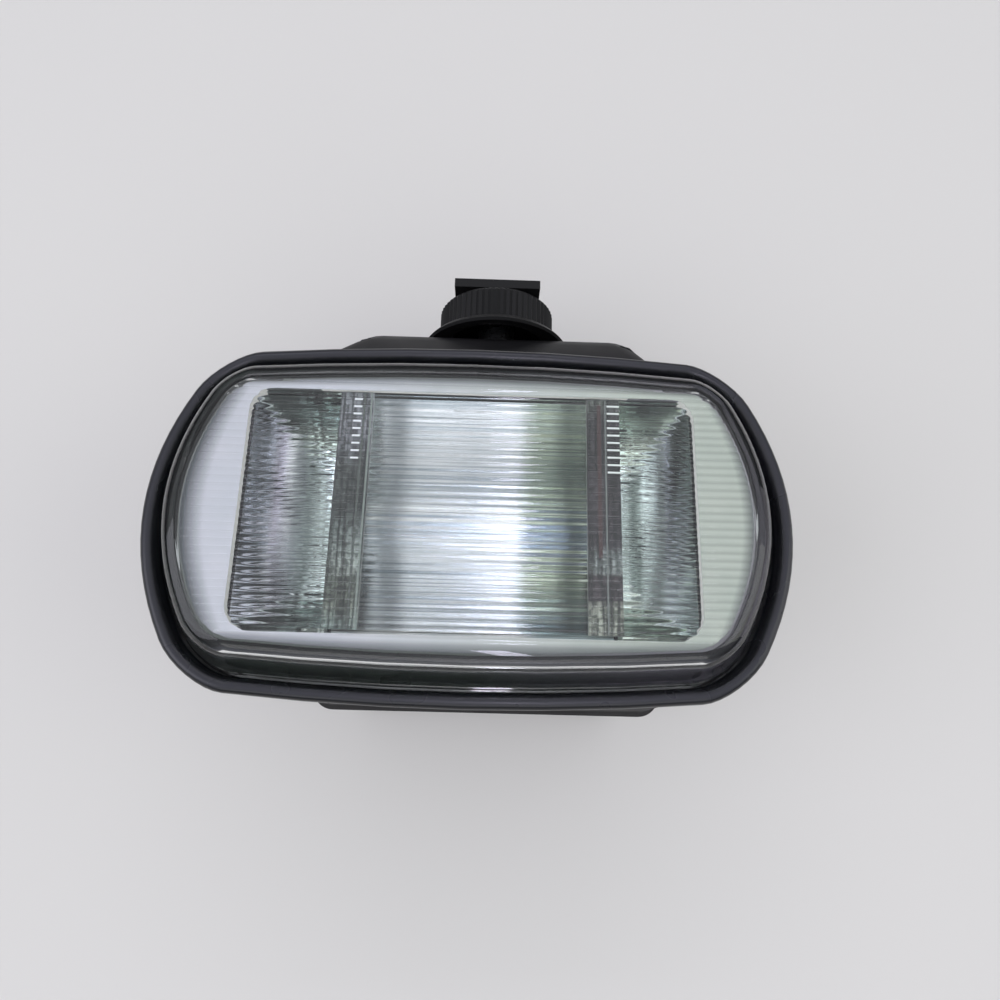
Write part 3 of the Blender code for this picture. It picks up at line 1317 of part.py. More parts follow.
def make_control_panel():
    panel = box("control_panel", (-panel_half, PANEL_LOW_Y, panel_z),
                (panel_half, PANEL_HIGH_Y, panel_z + PANEL_THICKNESS), black_trim)
    low, high = panel_z - BITE, panel_z + PANEL_THICKNESS + BITE
    boolean(panel, rod("dial_hole", SPINDLE_RADIUS + GAP, (*DIAL_AT, low), (*DIAL_AT, high),
                       None, cutters, 16))
    boolean(panel, rod("button_hole", BUTTON_RADIUS + SLIDE_GAP, (*BUTTON_AT, low), (*BUTTON_AT, high),
                       None, cutters, 24))
    boolean(panel, rod("lamp_hole", LAMP_RADIUS + GAP, (*LAMP_AT, low), (*LAMP_AT, high), None, cutters, 16))
    x, y = SWITCH_AT
    half_x, half_y = SWITCH_STEM[0] / 2 + SLIDE_GAP, SWITCH_STEM[1] / 2 + SLIDE_GAP
    boolean(panel, box("switch_slot", (x - half_x, y - half_y, low),
                       (x + half_x + SWITCH_TRAVEL, y + half_y, high), None, cutters))


def make_mode_dial():
    low = KNOB_RECESS
    high = BACK_WALL
    end = dial_control_z() - GAP
    teeth = 2 * DIAL_TEETH
    shape = bmesh.new()
    rows = [(low, -DIAL_EDGE), (low + DIAL_EDGE, 0.0), (high, 0.0)]
    rings = []
    for z, grow in rows:
        ring = []
        for k in range(teeth):
            radius = DIAL_RADIUS + grow - (DIAL_TOOTH if k % 2 else 0.0)
            turn = 2 * pi * k / teeth
            ring.append(shape.verts.new((radius * cos(turn), radius * sin(turn), z)))
        rings.append(ring)
    for lower, upper in zip(rings, rings[1:]):
        for k in range(teeth):
            shape.faces.new((lower[k], lower[(k + 1) % teeth], upper[(k + 1) % teeth], upper[k]))
    shape.faces.new(rings[0])
    shape.faces.new(rings[-1])
    bmesh.ops.recalc_face_normals(shape, faces=shape.faces)
    dial = from_bmesh("mode_dial", shape, black_trim)
    dial.location = (*DIAL_AT, 0)
    spindle = rod("spindle", SPINDLE_RADIUS, (*DIAL_AT, high - BITE), (*DIAL_AT, end), None, cutters, 16)
    bpy.context.view_layer.update()
    dial = unite(dial, [spindle])
    hang("mode_dial_axis", (*DIAL_AT, 0), [dial])


def make_power_switch():
    x, y = SWITCH_AT
    knob_x, knob_y = SWITCH_KNOB[0] / 2, SWITCH_KNOB[1] / 2
    stem_x, stem_y = SWITCH_STEM[0] / 2, SWITCH_STEM[1] / 2
    knob = box("power_switch", (x - knob_x, y - knob_y, KNOB_RECESS),
               (x + knob_x, y + knob_y, BACK_WALL), black_trim)
    stem = box("stem", (x - stem_x, y - stem_y, BACK_WALL - BITE),
               (x + stem_x, y + stem_y, switch_top_z() - GAP), None, cutters)
    bpy.context.view_layer.update()
    knob = unite(knob, [stem])
    hang("power_switch_axis", (x, y, KNOB_RECESS), [knob])


def make_test_button():
    x, y = BUTTON_AT
    seat = panel_z + PANEL_THICKNESS + GAP
    flange = button_seat_z()
    button = turned(
        "test_button",
        [(0, flange - KNOB_RECESS), (BUTTON_RADIUS + BUTTON_FLANGE, flange - KNOB_RECESS),
         (BUTTON_RADIUS + BUTTON_FLANGE, seat - KNOB_RECESS), (BUTTON_RADIUS, seat - KNOB_RECESS),
         (BUTTON_RADIUS, 0.0004), (BUTTON_RADIUS - 0.0004, 0), (0, 0)],
        (x, y, KNOB_RECESS), (0, 0, 1), orange_button, 24,
    )
    hang("test_button_axis", (x, y, KNOB_RECESS), [button])


def make_ready_lamp():
    x, y = LAMP_AT
    low = BACK_WALL * 0.6
    length = BOARD_Z - GAP - low
    shoulder = length - LAMP_FLANGE
    turned(
        "ready_lamp",
        [(0, length), (LAMP_RADIUS + LAMP_FLANGE / 2, length), (LAMP_RADIUS + LAMP_FLANGE / 2, shoulder),
         (LAMP_RADIUS, shoulder), (LAMP_RADIUS, LAMP_RADIUS * 0.8),
         (LAMP_RADIUS * 0.7, LAMP_RADIUS * 0.25), (0, 0)],
        (x, y, low), (0, 0, 1), red_lens, 16,
    )


def make_sync_socket():
    length, depth, pin = SOCKET_LENGTH, SOCKET_DEPTH, SOCKET_PIN_RADIUS
    radius = SOCKET_RADIUS
    bore = radius - SOCKET_WALL
    turned(
        "sync_socket",
        [(0, length), (radius, length), (radius, 0), (bore, 0), (bore, depth), (pin, depth),
         (pin, pin), (0, pin)],
        (-body_side - SOCKET_PROUD, *SOCKET_AT), (1, 0, 0), nickel, 24,
    )


def make_shell_screws():
    length = parting_z + SCREW_REACH - BITE - WELL_DEPTH + SCREW_HEAD_HEIGHT
    for number, (x, y) in enumerate(post_places, 1):
        screw(f"shell_screw_{number}", (x, y, WELL_DEPTH - GAP), (0, 0, -1), SCREW_RADIUS,
              SCREW_HEAD_RADIUS, SCREW_HEAD_HEIGHT, length - SCREW_HEAD_HEIGHT)


make_rear_shell()
make_front_housing()
make_bezel()
make_window()
make_gasket()
make_reflector_frame()
make_main_reflector()
make_side_reflector("left_side_reflector", -1)
make_side_reflector("right_side_reflector", 1)
make_mouth_straps()
make_tube()
make_tube_leads()
make_light_sensor()
make_board()
make_capacitor()
make_transformer()
make_trigger_coil()
make_battery_tray()
make_cells()
make_contacts("fixed", fixed_plates_x, 1, 1)
make_door()
make_foot()
make_lock_wheel()
make_control_panel()
make_mode_dial()
make_power_switch()
make_test_button()
make_ready_lamp()
make_sync_socket()
make_shell_screws()
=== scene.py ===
import json
import math

import bpy
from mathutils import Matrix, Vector

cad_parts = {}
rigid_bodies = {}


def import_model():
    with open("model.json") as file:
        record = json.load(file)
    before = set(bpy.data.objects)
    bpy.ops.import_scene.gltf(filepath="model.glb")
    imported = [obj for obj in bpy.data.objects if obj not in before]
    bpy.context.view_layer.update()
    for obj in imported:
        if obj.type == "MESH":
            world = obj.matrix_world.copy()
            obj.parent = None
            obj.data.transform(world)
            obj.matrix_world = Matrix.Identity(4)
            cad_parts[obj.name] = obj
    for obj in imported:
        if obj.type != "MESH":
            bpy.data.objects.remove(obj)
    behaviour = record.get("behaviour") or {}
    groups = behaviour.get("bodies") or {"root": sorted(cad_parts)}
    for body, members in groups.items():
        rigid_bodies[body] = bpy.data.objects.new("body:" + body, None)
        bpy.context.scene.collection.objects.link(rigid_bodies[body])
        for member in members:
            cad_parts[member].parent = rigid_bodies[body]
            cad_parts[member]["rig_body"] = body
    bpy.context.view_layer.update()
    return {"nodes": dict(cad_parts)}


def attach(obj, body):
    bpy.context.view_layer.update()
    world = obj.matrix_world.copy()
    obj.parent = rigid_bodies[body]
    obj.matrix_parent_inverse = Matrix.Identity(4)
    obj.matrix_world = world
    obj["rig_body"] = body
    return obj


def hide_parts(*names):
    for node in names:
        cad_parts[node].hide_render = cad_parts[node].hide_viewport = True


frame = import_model()
nodes = frame["nodes"]
mm = 0.001
spread = (0.3, 0.7)  # most of a noise pattern's values lie between these


def linear(hexColour):
    # shaders take linear colour, and the recipes below are written as sRGB
    parts = [int(hexColour[k:k + 2], 16) / 255 for k in (1, 3, 5)]
    return [c / 12.92 if c <= 0.04045 else ((c + 0.055) / 1.055) ** 2.4 for c in parts] + [1.0]


def addNode(tree, kind, inputs=(), out=0, stops=(), **settings):
    # inputs go by name or in order: a socket among them is linked, and anything else is set
    # it gives back one output, or the whole node where out is None
    node = tree.nodes.new("ShaderNode" + kind)
    for name, value in settings.items():
        setattr(node, name, value)
    for name, value in inputs.items() if isinstance(inputs, dict) else enumerate(inputs):
        if isinstance(value, bpy.types.NodeSocket):
            tree.links.new(value, node.inputs[name])
        else:
            node.inputs[name].default_value = value
    for k, (position, colour) in enumerate(stops):
        stop = node.color_ramp.elements[k] if k < 2 else node.color_ramp.elements.new(position)
        stop.position = position
        stop.color = linear(colour)
    return node if out is None or not node.outputs else node.outputs[out]


def perMetre(sizes):
    # a pattern's scale along x, y and z, from its length there in mm
    return [1 / (size * mm) for size in sizes]


def newFinish(name):
    material = bpy.data.materials.new(name)
    material.use_nodes = True
    tree = material.node_tree
    tree.nodes.clear()
    return material, tree, addNode(tree, "TexCoord", out="Object")


def mouldedPlastic(name, recipe):
    # injection moulded: the spark-eroded mould leaves a fine matt grain, and hands polish the high spots a little; a
    # crest band, where a recipe gives one, is a painted highlight
    material, tree, place = newFinish(name)
    fine = addNode(tree, "TexNoise", {"Scale": 1.0, "Detail": 2.0, "Vector": addNode(tree, "Mapping", {
        "Vector": place, "Scale": perMetre([recipe["grain"]] * 3)})})
    broad = addNode(tree, "TexNoise", {"Scale": 1.0, "Detail": 3.0, "Vector": addNode(tree, "Mapping", {
        "Vector": place, "Scale": perMetre([recipe.get("patch", 14)] * 3)})})
    bump = addNode(tree, "Bump", {"Height": fine, "Distance": recipe["depth"] * mm, "Strength": 1.0})
    skin = addNode(tree, "ValToRGB", [broad], stops=zip(spread, [recipe["dark"], recipe["light"]]))
    # painted highlight: between the crest heights the colour turns to a lighter tone that stands in for light on the
    # bead's crest
    if "crest" in recipe:
        up = addNode(tree, "SeparateXYZ", [place], out="Z")
        onCrest = addNode(tree, "MapRange", [up, recipe["crest"][0] * mm, recipe["crest"][1] * mm, 0.0, 1.0])
        skin = addNode(tree, "Mix", {0: onCrest, 6: skin, 7: linear(recipe["paintedLightTone"])}, out=2, data_type="RGBA")
    shader = addNode(tree, "BsdfPrincipled", {
        "Base Color": skin, "Roughness": addNode(tree, "MapRange", [broad, *spread, *recipe["rough"]]),
        "Normal": bump, "IOR": recipe.get("ior", 1.5), "Specular IOR Level": recipe.get("sheen", 0.5)})
    addNode(tree, "OutputMaterial", [shader])
    return material


def workedMetal(name, recipe):
    # sheet or turned metal: the grain runs one way, so the scratches are long in that direction
    material, tree, place = newFinish(name)
    grain = addNode(tree, "TexNoise", {"Scale": 1.0, "Detail": 4.0, "Vector": addNode(tree, "Mapping", {
        "Vector": place, "Scale": perMetre(recipe["grain"])})})
    broad = addNode(tree, "TexNoise", {"Scale": 1.0, "Detail": 2.0, "Vector": addNode(tree, "Mapping", {
        "Vector": place, "Scale": perMetre([recipe.get("patch", 9)] * 3)})})
    shader = addNode(tree, "BsdfPrincipled", {
        "Base Color": addNode(tree, "ValToRGB", [broad], stops=zip(spread, [recipe["dark"], recipe["light"]])),
        "Roughness": addNode(tree, "MapRange", [grain, *spread, *recipe["rough"]]),
        "Metallic": 1.0,
        "Normal": addNode(tree, "Bump", {"Height": grain, "Distance": recipe["depth"] * mm, "Strength": 1.0})})
    addNode(tree, "OutputMaterial", [shader])
    return material


# Polycarbonate and ABS blend, moulded in black with a fine matt grain
casingBlack = mouldedPlastic("blackPolycarbonateCasing", {
    "dark": "#0b0b0d", "light": "#121114", "rough": (0.46, 0.60), "grain": 0.35, "depth": 0.012, "sheen": 0.32})

# The same plastic from a polished mould: the rim shows soft violet-grey lights, and the bead's crest carries a
# painted highlight, a lighter violet-grey band painted between two heights
rimBlack = mouldedPlastic("satinAbsRim", {
    "dark": "#07080b", "light": "#0c0d12", "rough": (0.24, 0.34), "grain": 0.5, "depth": 0.003, "sheen": 0.45,
    "crest": (63.45, 63.78), "paintedLightTone": "#2b2b32"})

# Glass-filled nylon: dry and grey-black, with a slightly rough skin
nylonBlack = mouldedPlastic("glassFilledNylonBlack", {
    "dark": "#0a0a0b", "light": "#111112", "rough": (0.44, 0.58), "grain": 0.25, "depth": 0.014, "sheen": 0.28})

# Silicone rubber, pressed in a hot mould: dull, as its soft skin scatters the light
rubberBlack = mouldedPlastic("siliconeRubberBlack", {
    "dark": "#0c0c0d", "light": "#121213", "rough": (0.66, 0.78), "grain": 0.4, "depth": 0.006, "ior": 1.42})

# The same rubber without pigment: milky, and a little smoother
siliconePale = mouldedPlastic("siliconeRubberPale", {
    "dark": "#d9d4c6", "light": "#e8e4d8", "rough": (0.45, 0.58), "grain": 0.6, "depth": 0.006, "ior": 1.42})

# Soft PVC, extruded over the wire: an even red with a dull gloss
sleeveWire = mouldedPlastic("pvcWireSleeve", {
    "dark": "#8f1d1b", "light": "#a82824", "rough": (0.34, 0.46), "grain": 0.8, "depth": 0.004})

# Ferrite, pressed from powder and sintered: stone grey and finely pitted
ferriteGrey = mouldedPlastic("sinteredFerrite", {
    "dark": "#2a2a2c", "light": "#3b3a3b", "rough": (0.48, 0.66), "grain": 0.2, "depth": 0.02})

# Polyester tape, wound on by machine: smooth and glossy, slightly uneven over the wire below
tapeYellow = mouldedPlastic("polyesterTapeYellow", {
    "dark": "#cf9d1e", "light": "#e0b436", "rough": (0.24, 0.36), "grain": 1.2, "depth": 0.02})

# Acetal, turned from a natural rod: a waxy white
acetalWhite = mouldedPlastic("acetalNaturalWhite", {
    "dark": "#dedcd2", "light": "#ebe9e0", "rough": (0.34, 0.44), "grain": 0.4, "depth": 0.004, "ior": 1.48})

# ABS from a polished mould: a clear orange with a satin gloss
buttonOrange = mouldedPlastic("absOrange", {
    "dark": "#c9581a", "light": "#dc6a24", "rough": (0.30, 0.42), "grain": 0.4, "depth": 0.005})

# Epoxy, cast with a dark dye: glossy, and almost black from outside
sensorBlack = mouldedPlastic("tintedEpoxyBlack", {
    "dark": "#08080a", "light": "#101014", "rough": (0.10, 0.20), "grain": 0.6, "depth": 0.002})

# Cold-rolled steel, pressed and zinc plated: a cool grey with a soft gloss
steelZinc = workedMetal("zincPlatedSteel", {
    "dark": "#a7a9ac", "light": "#c2c4c6", "rough": (0.24, 0.42), "grain": [4, 0.3, 0.3], "depth": 0.004})

# Spring steel strip with bright nickel plating: warmer and sharper than the zinc
nickelBright = workedMetal("brightNickelPlate", {
    "dark": "#b3ab9c", "light": "#cbc4b6", "rough": (0.14, 0.26), "grain": [0.3, 3, 0.3], "depth": 0.002})


def frostedMask(name, recipe):
    # dark ABS whose face is vacuum metallised and then frosted: silvery with a soft grain; its lavender-to-cream
    # change across is painted light, it darkens towards its outer edge in painted shade, and it has painted stripes
    # of shade where the window's ribs gather the light
    material, tree, place = newFinish(name)
    axes = addNode(tree, "SeparateXYZ", [place], out=None)
    halfLong, halfWide = recipe["half"]
    fromMiddle = addNode(tree, "Math", [axes.outputs["X"], recipe["middle"] * mm], operation="SUBTRACT")
    share = addNode(tree, "MapRange", [fromMiddle, -halfLong * mm, halfLong * mm, 0.0, 1.0])
    along = addNode(tree, "Math", [fromMiddle, halfLong * mm], operation="DIVIDE")
    across = addNode(tree, "Math", [axes.outputs["Y"], halfWide * mm], operation="DIVIDE")

    # how far inside the bowed outline each place lies, as a share of the width of the painted shade along the edge
    rooms = []
    softEnds = addNode(tree, "MapRange", [share, 0, 1, *recipe["softEnds"]])
    for own, other, half, bow, soft in ((along, across, halfLong, recipe["bow"][0], softEnds),
                                        (across, along, halfWide, recipe["bow"][1], recipe["softEdge"])):
        fall = addNode(tree, "Math", [other, other], operation="MULTIPLY")
        reach = addNode(tree, "Math", [own], operation="ABSOLUTE")
        edge = addNode(tree, "Math", [fall, -bow, half], operation="MULTIPLY_ADD")
        room = addNode(tree, "Math", [reach, -half, edge], operation="MULTIPLY_ADD")
        rooms.append(addNode(tree, "Math", [room, soft], operation="DIVIDE"))
    rim = addNode(tree, "Math", rooms, operation="MINIMUM")

    # painted shade: darker stripes at the window's rib pitch, stronger to the right, stand in for the light the ribs
    # gather
    wave = addNode(tree, "Math", [addNode(tree, "Math", [
        axes.outputs["Y"], 2 * math.pi / (recipe["ribPitch"] * mm)], operation="MULTIPLY")], operation="SINE")
    ribShade = addNode(tree, "Math", [
        addNode(tree, "MapRange", [wave, -1.0, 1.0, 0.0, 1.0]),
        addNode(tree, "MapRange", [share, 0, 1, *recipe["stripes"]])], operation="MULTIPLY")
    fine = addNode(tree, "TexNoise", {"Scale": 1.0, "Detail": 2.0, "Vector": addNode(tree, "Mapping", {
        "Vector": place, "Scale": perMetre([recipe["frost"]] * 3)})})
    bump = addNode(tree, "Bump", {"Height": fine, "Distance": recipe["depth"] * mm, "Strength": 1.0})

    # painted light: the lavender-to-cream change across the face stands in for how the room lights each side
    tone = addNode(tree, "ValToRGB", [share], stops=[(0.25, recipe["left"]), (0.8, recipe["right"])])
    ribShaded = addNode(tree, "Mix", {0: ribShade, 6: tone, 7: linear(recipe["ribShade"])}, out=2, data_type="RGBA")
    # painted shade: near the outline the colour darkens to the rim colour
    edgeShaded = addNode(tree, "Mix", {
        0: addNode(tree, "MapRange", [rim, 0.05, 1.0, 0.0, 1.0]), 6: linear(recipe["rim"]), 7: ribShaded},
        out=2, data_type="RGBA")
    # painted highlight: the mouth walls are painted near-white so that they look lit
    onFace = addNode(tree, "Math", [axes.outputs["Z"], recipe["faceFrom"] * mm], operation="GREATER_THAN")
    silvered = addNode(tree, "Mix", {0: onFace, 6: linear(recipe["mouthWall"]), 7: edgeShaded}, out=2, data_type="RGBA")
    silver = addNode(tree, "BsdfPrincipled", {
        "Base Color": silvered, "Roughness": addNode(tree, "MapRange", [fine, *spread, *recipe["rough"]]),
        "Metallic": 0.3, "Normal": bump})
    # painted reflection: the bare skirt goes from dark on the left to light lavender on the right
    bare = addNode(tree, "BsdfPrincipled", {
        "Base Color": addNode(tree, "ValToRGB", [share], stops=[
            (0.5, recipe["bareLeft"]), (0.85, recipe["bareRight"])]),
        "Roughness": addNode(tree, "MapRange", [fine, *spread, *recipe["bareRough"]])})
    inMouth = addNode(tree, "Math", [rim, recipe["mouthFrom"]], operation="GREATER_THAN")
    coated = addNode(tree, "Math", [onFace, inMouth], operation="MAXIMUM")
    addNode(tree, "OutputMaterial", [addNode(tree, "MixShader", [coated, bare, silver])])
    return material


def polishedTrough(name, recipe):
    # bright-rolled aluminium sheet: the rolling leaves long faint ridges that break each light into streaks
    material, tree, place = newFinish(name)
    streaks = addNode(tree, "TexNoise", {
        "Scale": 1.0, "Detail": 5.0, "Roughness": 0.6, "Vector": addNode(tree, "Mapping", {
            "Vector": place, "Scale": perMetre(recipe["along"])})})
    wide = addNode(tree, "TexNoise", {
        "Scale": 1.0, "Detail": 3.0, "Roughness": 0.7, "Vector": addNode(tree, "Mapping", {
            "Vector": place, "Scale": perMetre(recipe["wide"])})})
    axes = addNode(tree, "SeparateXYZ", [place], out=None)
    height = addNode(tree, "MapRange", [axes.outputs["Y"], -recipe["half"] * mm, recipe["half"] * mm, 0.0, 1.0])
    # painted reflection: on the right part the colour follows bands along y that stand in for what the room shows in
    # the mirror
    tinted = addNode(tree, "Mix", {
        0: addNode(tree, "MapRange", [
            axes.outputs["X"], recipe["tintFrom"] * mm, recipe["tintFull"] * mm, 0.0, 1.0]),
        6: addNode(tree, "ValToRGB", [wide], stops=[(0.38, recipe["dull"]), (0.56, recipe["bright"])]),
        7: addNode(tree, "ValToRGB", [height], stops=recipe["reflectedBands"])},
        out=2, data_type="RGBA", blend_type="MULTIPLY")
    shader = addNode(tree, "BsdfPrincipled", {
        "Base Color": tinted, "Roughness": addNode(tree, "MapRange", [streaks, *spread, *recipe["rough"]]),
        "Metallic": 1.0,
        "Normal": addNode(tree, "Bump", {"Height": streaks, "Distance": recipe["depth"] * mm, "Strength": 1.0})})
    addNode(tree, "OutputMaterial", [shader])
    return material


def creasedBowl(name, recipe):
    # the same bright sheet pressed into a bowl: the colours of its end walls and of its outer wall are painted light,
    # standing in for what each wall looks into, and the folds between them carry a painted highlight
    material, tree, place = newFinish(name)
    axes = addNode(tree, "SeparateXYZ", [place], out=None)
    fromMiddle = addNode(tree, "Math", [axes.outputs["X"], recipe["middle"] * mm], operation="SUBTRACT")
    out = addNode(tree, "Math", [fromMiddle], operation="ABSOLUTE")
    up = addNode(tree, "Math", [axes.outputs["Y"]], operation="ABSOLUTE")

    # the fold runs straight from foldX[0], foldY[0] at the mouth to foldX[1], foldY[1] at the outer corner
    foldFrom, foldTo = [x * mm for x in recipe["foldX"]]
    foldAt = addNode(tree, "MapRange", [out, foldFrom, foldTo, recipe["foldY"][0] * mm, recipe["foldY"][1] * mm])
    pastFold = addNode(tree, "Math", [up, foldAt], operation="SUBTRACT")
    onFold = addNode(tree, "Math", [pastFold], operation="ABSOLUTE")
    outward = addNode(tree, "MapRange", [out, foldFrom, foldTo, 0.0, 1.0])
    # painted light: the walls' colours change outwards and past the fold to stand in for what each wall looks into
    walls = addNode(tree, "Mix", {
        0: addNode(tree, "MapRange", [pastFold, -recipe["foldSoft"] * mm, recipe["foldSoft"] * mm, 0.0, 1.0]),
        6: addNode(tree, "ValToRGB", [outward], stops=[(0.35, recipe["near"]), (0.75, recipe["far"])]),
        7: linear(recipe["ends"])}, out=2, data_type="RGBA")

    # painted shade: dark lines at the window's rib pitch in some patches; painted glints: near-white specks near the
    # mouth
    pitch = recipe["ridge"] * mm
    ridge = addNode(tree, "Math", [axes.outputs["Y"], pitch / 2], operation="PINGPONG")
    patches = addNode(tree, "TexNoise", {"Scale": 1.0, "Detail": 2.0, "Vector": addNode(tree, "Mapping", {
        "Vector": place, "Scale": perMetre(recipe["patch"])})})
    ribShadeLines = addNode(tree, "Math", [
        addNode(tree, "MapRange", [ridge, 0.12 * pitch, 0.32 * pitch, 1.0, 0.0]),
        addNode(tree, "MapRange", [patches, 0.40, 0.55, 0.15, 1.0])], operation="MULTIPLY")
    withRibShade = addNode(tree, "Mix", {
        0: ribShadeLines, 6: walls, 7: linear(recipe["shade"])}, out=2, data_type="RGBA", blend_type="MULTIPLY")
    specks = addNode(tree, "TexNoise", {"Scale": 1.0, "Detail": 3.0, "Vector": addNode(tree, "Mapping", {
        "Vector": place, "Scale": perMetre(recipe["specks"])})})
    # painted glints: near-white specks mixed in towards the mouth
    withGlints = addNode(tree, "Mix", {
        0: addNode(tree, "Math", [
            addNode(tree, "MapRange", [specks, 0.50, 0.60, 0.0, 1.0]),
            addNode(tree, "MapRange", [outward, 0.25, 0.60, 0.9, 0.0])], operation="MULTIPLY"),
        6: withRibShade, 7: linear(recipe["glintColour"])}, out=2, data_type="RGBA")

    streaks = addNode(tree, "TexNoise", {
        "Scale": 1.0, "Detail": 5.0, "Roughness": 0.6, "Vector": addNode(tree, "Mapping", {
            "Vector": place, "Scale": perMetre(recipe["along"])})})
    mirror = addNode(tree, "BsdfPrincipled", {
        "Base Color": withGlints, "Roughness": addNode(tree, "MapRange", [streaks, *spread, *recipe["rough"]]),
        "Metallic": 1.0,
        "Normal": addNode(tree, "Bump", {"Height": streaks, "Distance": recipe["depth"] * mm, "Strength": 1.0})})
    # painted highlight: along the fold the mirror gives way to a light grey-white colour
    foldHighlight = addNode(tree, "BsdfPrincipled", {
        "Base Color": addNode(tree, "ValToRGB", [specks], stops=zip((0.42, 0.58), recipe["foldHighlight"])),
        "Roughness": 0.35, "Metallic": 0.5})
    fold = addNode(tree, "MapRange", [onFold, recipe["foldHalf"] * 0.5 * mm, recipe["foldHalf"] * mm, 1.0, 0.0])
    addNode(tree, "OutputMaterial", [addNode(tree, "MixShader", [fold, mirror, foldHighlight])])
    return material


def clearMoulding(name, recipe):
    # a clear moulding or drawn glass; shadow rays pass, so that the light reaches what lies behind it
    material, tree, place = newFinish(name)
    haze = addNode(tree, "TexNoise", {"Scale": 1.0, "Detail": 4.0, "Vector": addNode(tree, "Mapping", {
        "Vector": place, "Scale": perMetre([recipe.get("haze", 6)] * 3)})})
    shader = addNode(tree, "BsdfPrincipled", {
        "Base Color": addNode(tree, "ValToRGB", [haze], stops=zip(spread, [recipe["dark"], recipe["light"]])),
        "Roughness": addNode(tree, "MapRange", [haze, *spread, *recipe["rough"]]),
        "Transmission Weight": 1.0, "IOR": recipe["ior"]})
    through = addNode(tree, "BsdfTransparent", [linear(recipe["light"])])
    shadow = addNode(tree, "LightPath", out="Is Shadow Ray")
    addNode(tree, "OutputMaterial", [addNode(tree, "MixShader", [shadow, shader, through])])
    return material


# painted light in this recipe: left and right tint the face, rim is the painted shade at its edge, the rib stripe
# colour is painted shade, the mouth wall a painted highlight, and bareLeft and bareRight a painted reflection on the
# skirt
maskSilver = frostedMask("frostedMetallisedAbs", {
    "left": "#c3c4cb", "right": "#b5bcb1", "ribShade": "#747a70", "stripes": (0.04, 0.40), "ribPitch": 1.25,
    "frost": 0.25, "depth": 0.012, "rough": (0.46, 0.58), "rim": "#353b40", "softEnds": (3.4, 2.2), "softEdge": 1.7,
    "middle": -3.2, "half": (44.4, 22.05), "bow": (6.62, 1.62), "bareLeft": "#404642", "bareRight": "#66646b",
    "bareRough": (0.4, 0.5), "faceFrom": 67.35, "mouthFrom": 1.2, "mouthWall": "#f3f0ea"})

# The reflected bands across the mirror's right part are painted reflection, standing in for what the room shows
# there, from its -y edge to the foot side
troughMirror = polishedTrough("rolledAluminiumTrough", {
    "along": [30, 0.5, 30], "wide": [60, 1.6, 30], "depth": 0.05, "rough": (0.10, 0.20), "dull": "#b4bdc2",
    "bright": "#ffffff", "half": 19.5, "tintFrom": 4.5, "tintFull": 7.5, "reflectedBands": [
        (0.00, "#e4f6f8"), (1.00, "#ced5ca"), (0.06, "#7f8a94"), (0.11, "#fbfff8"), (0.19, "#b9c2ba"),
        (0.26, "#ecefdc"), (0.41, "#dde1cf"), (0.45, "#93a0ab"), (0.58, "#93a1a8"), (0.64, "#ccd4c4")]})

bowlSheet = {
    "along": [12, 0.8, 12], "depth": 0.05, "rough": (0.12, 0.24), "middle": -3.5, "foldY": (10.0, 18.5),
    "foldHalf": 0.28, "foldSoft": 0.2, "ridge": 1.25, "specks": [1.2, 0.45, 2.0], "foldHighlight": ("#7d8686", "#d3d9d9")}
leftBowl = creasedBowl("pressedAluminiumBowlLeft", {
    **bowlSheet, "foldX": (24.2, 35.0), "near": "#b9c4c0", "far": "#e4e0f0", "ends": "#7f8984", "patch": [7, 9, 9],
    "shade": "#33393e", "glintColour": "#f2fffc"})
rightBowl = creasedBowl("pressedAluminiumBowlRight", {
    **bowlSheet, "foldX": (27.0, 35.0), "near": "#bcc9c3", "far": "#a9b2ae", "ends": "#ccd5c9", "patch": [9, 8, 9],
    "shade": "#3a4143", "glintColour": "#eefcf6"})

# Acrylic from a polished mould: clear, with the faintest haze
windowClear = clearMoulding("clearAcrylicWindow", {
    "dark": "#f6f9f8", "light": "#fdfefd", "rough": (0.01, 0.03), "ior": 1.49})

# Quartz, drawn hot into a tube: clear, and a touch cooler than the acrylic
tubeGlass = clearMoulding("drawnQuartzTube", {
    "dark": "#eef2f4", "light": "#fafcfd", "rough": (0.01, 0.03), "ior": 1.46})

# Acrylic dyed through: a deep red that glows at its edges
lensRed = clearMoulding("tintedAcrylicRed", {
    "dark": "#b01219", "light": "#d01c22", "rough": (0.12, 0.2), "ior": 1.49})


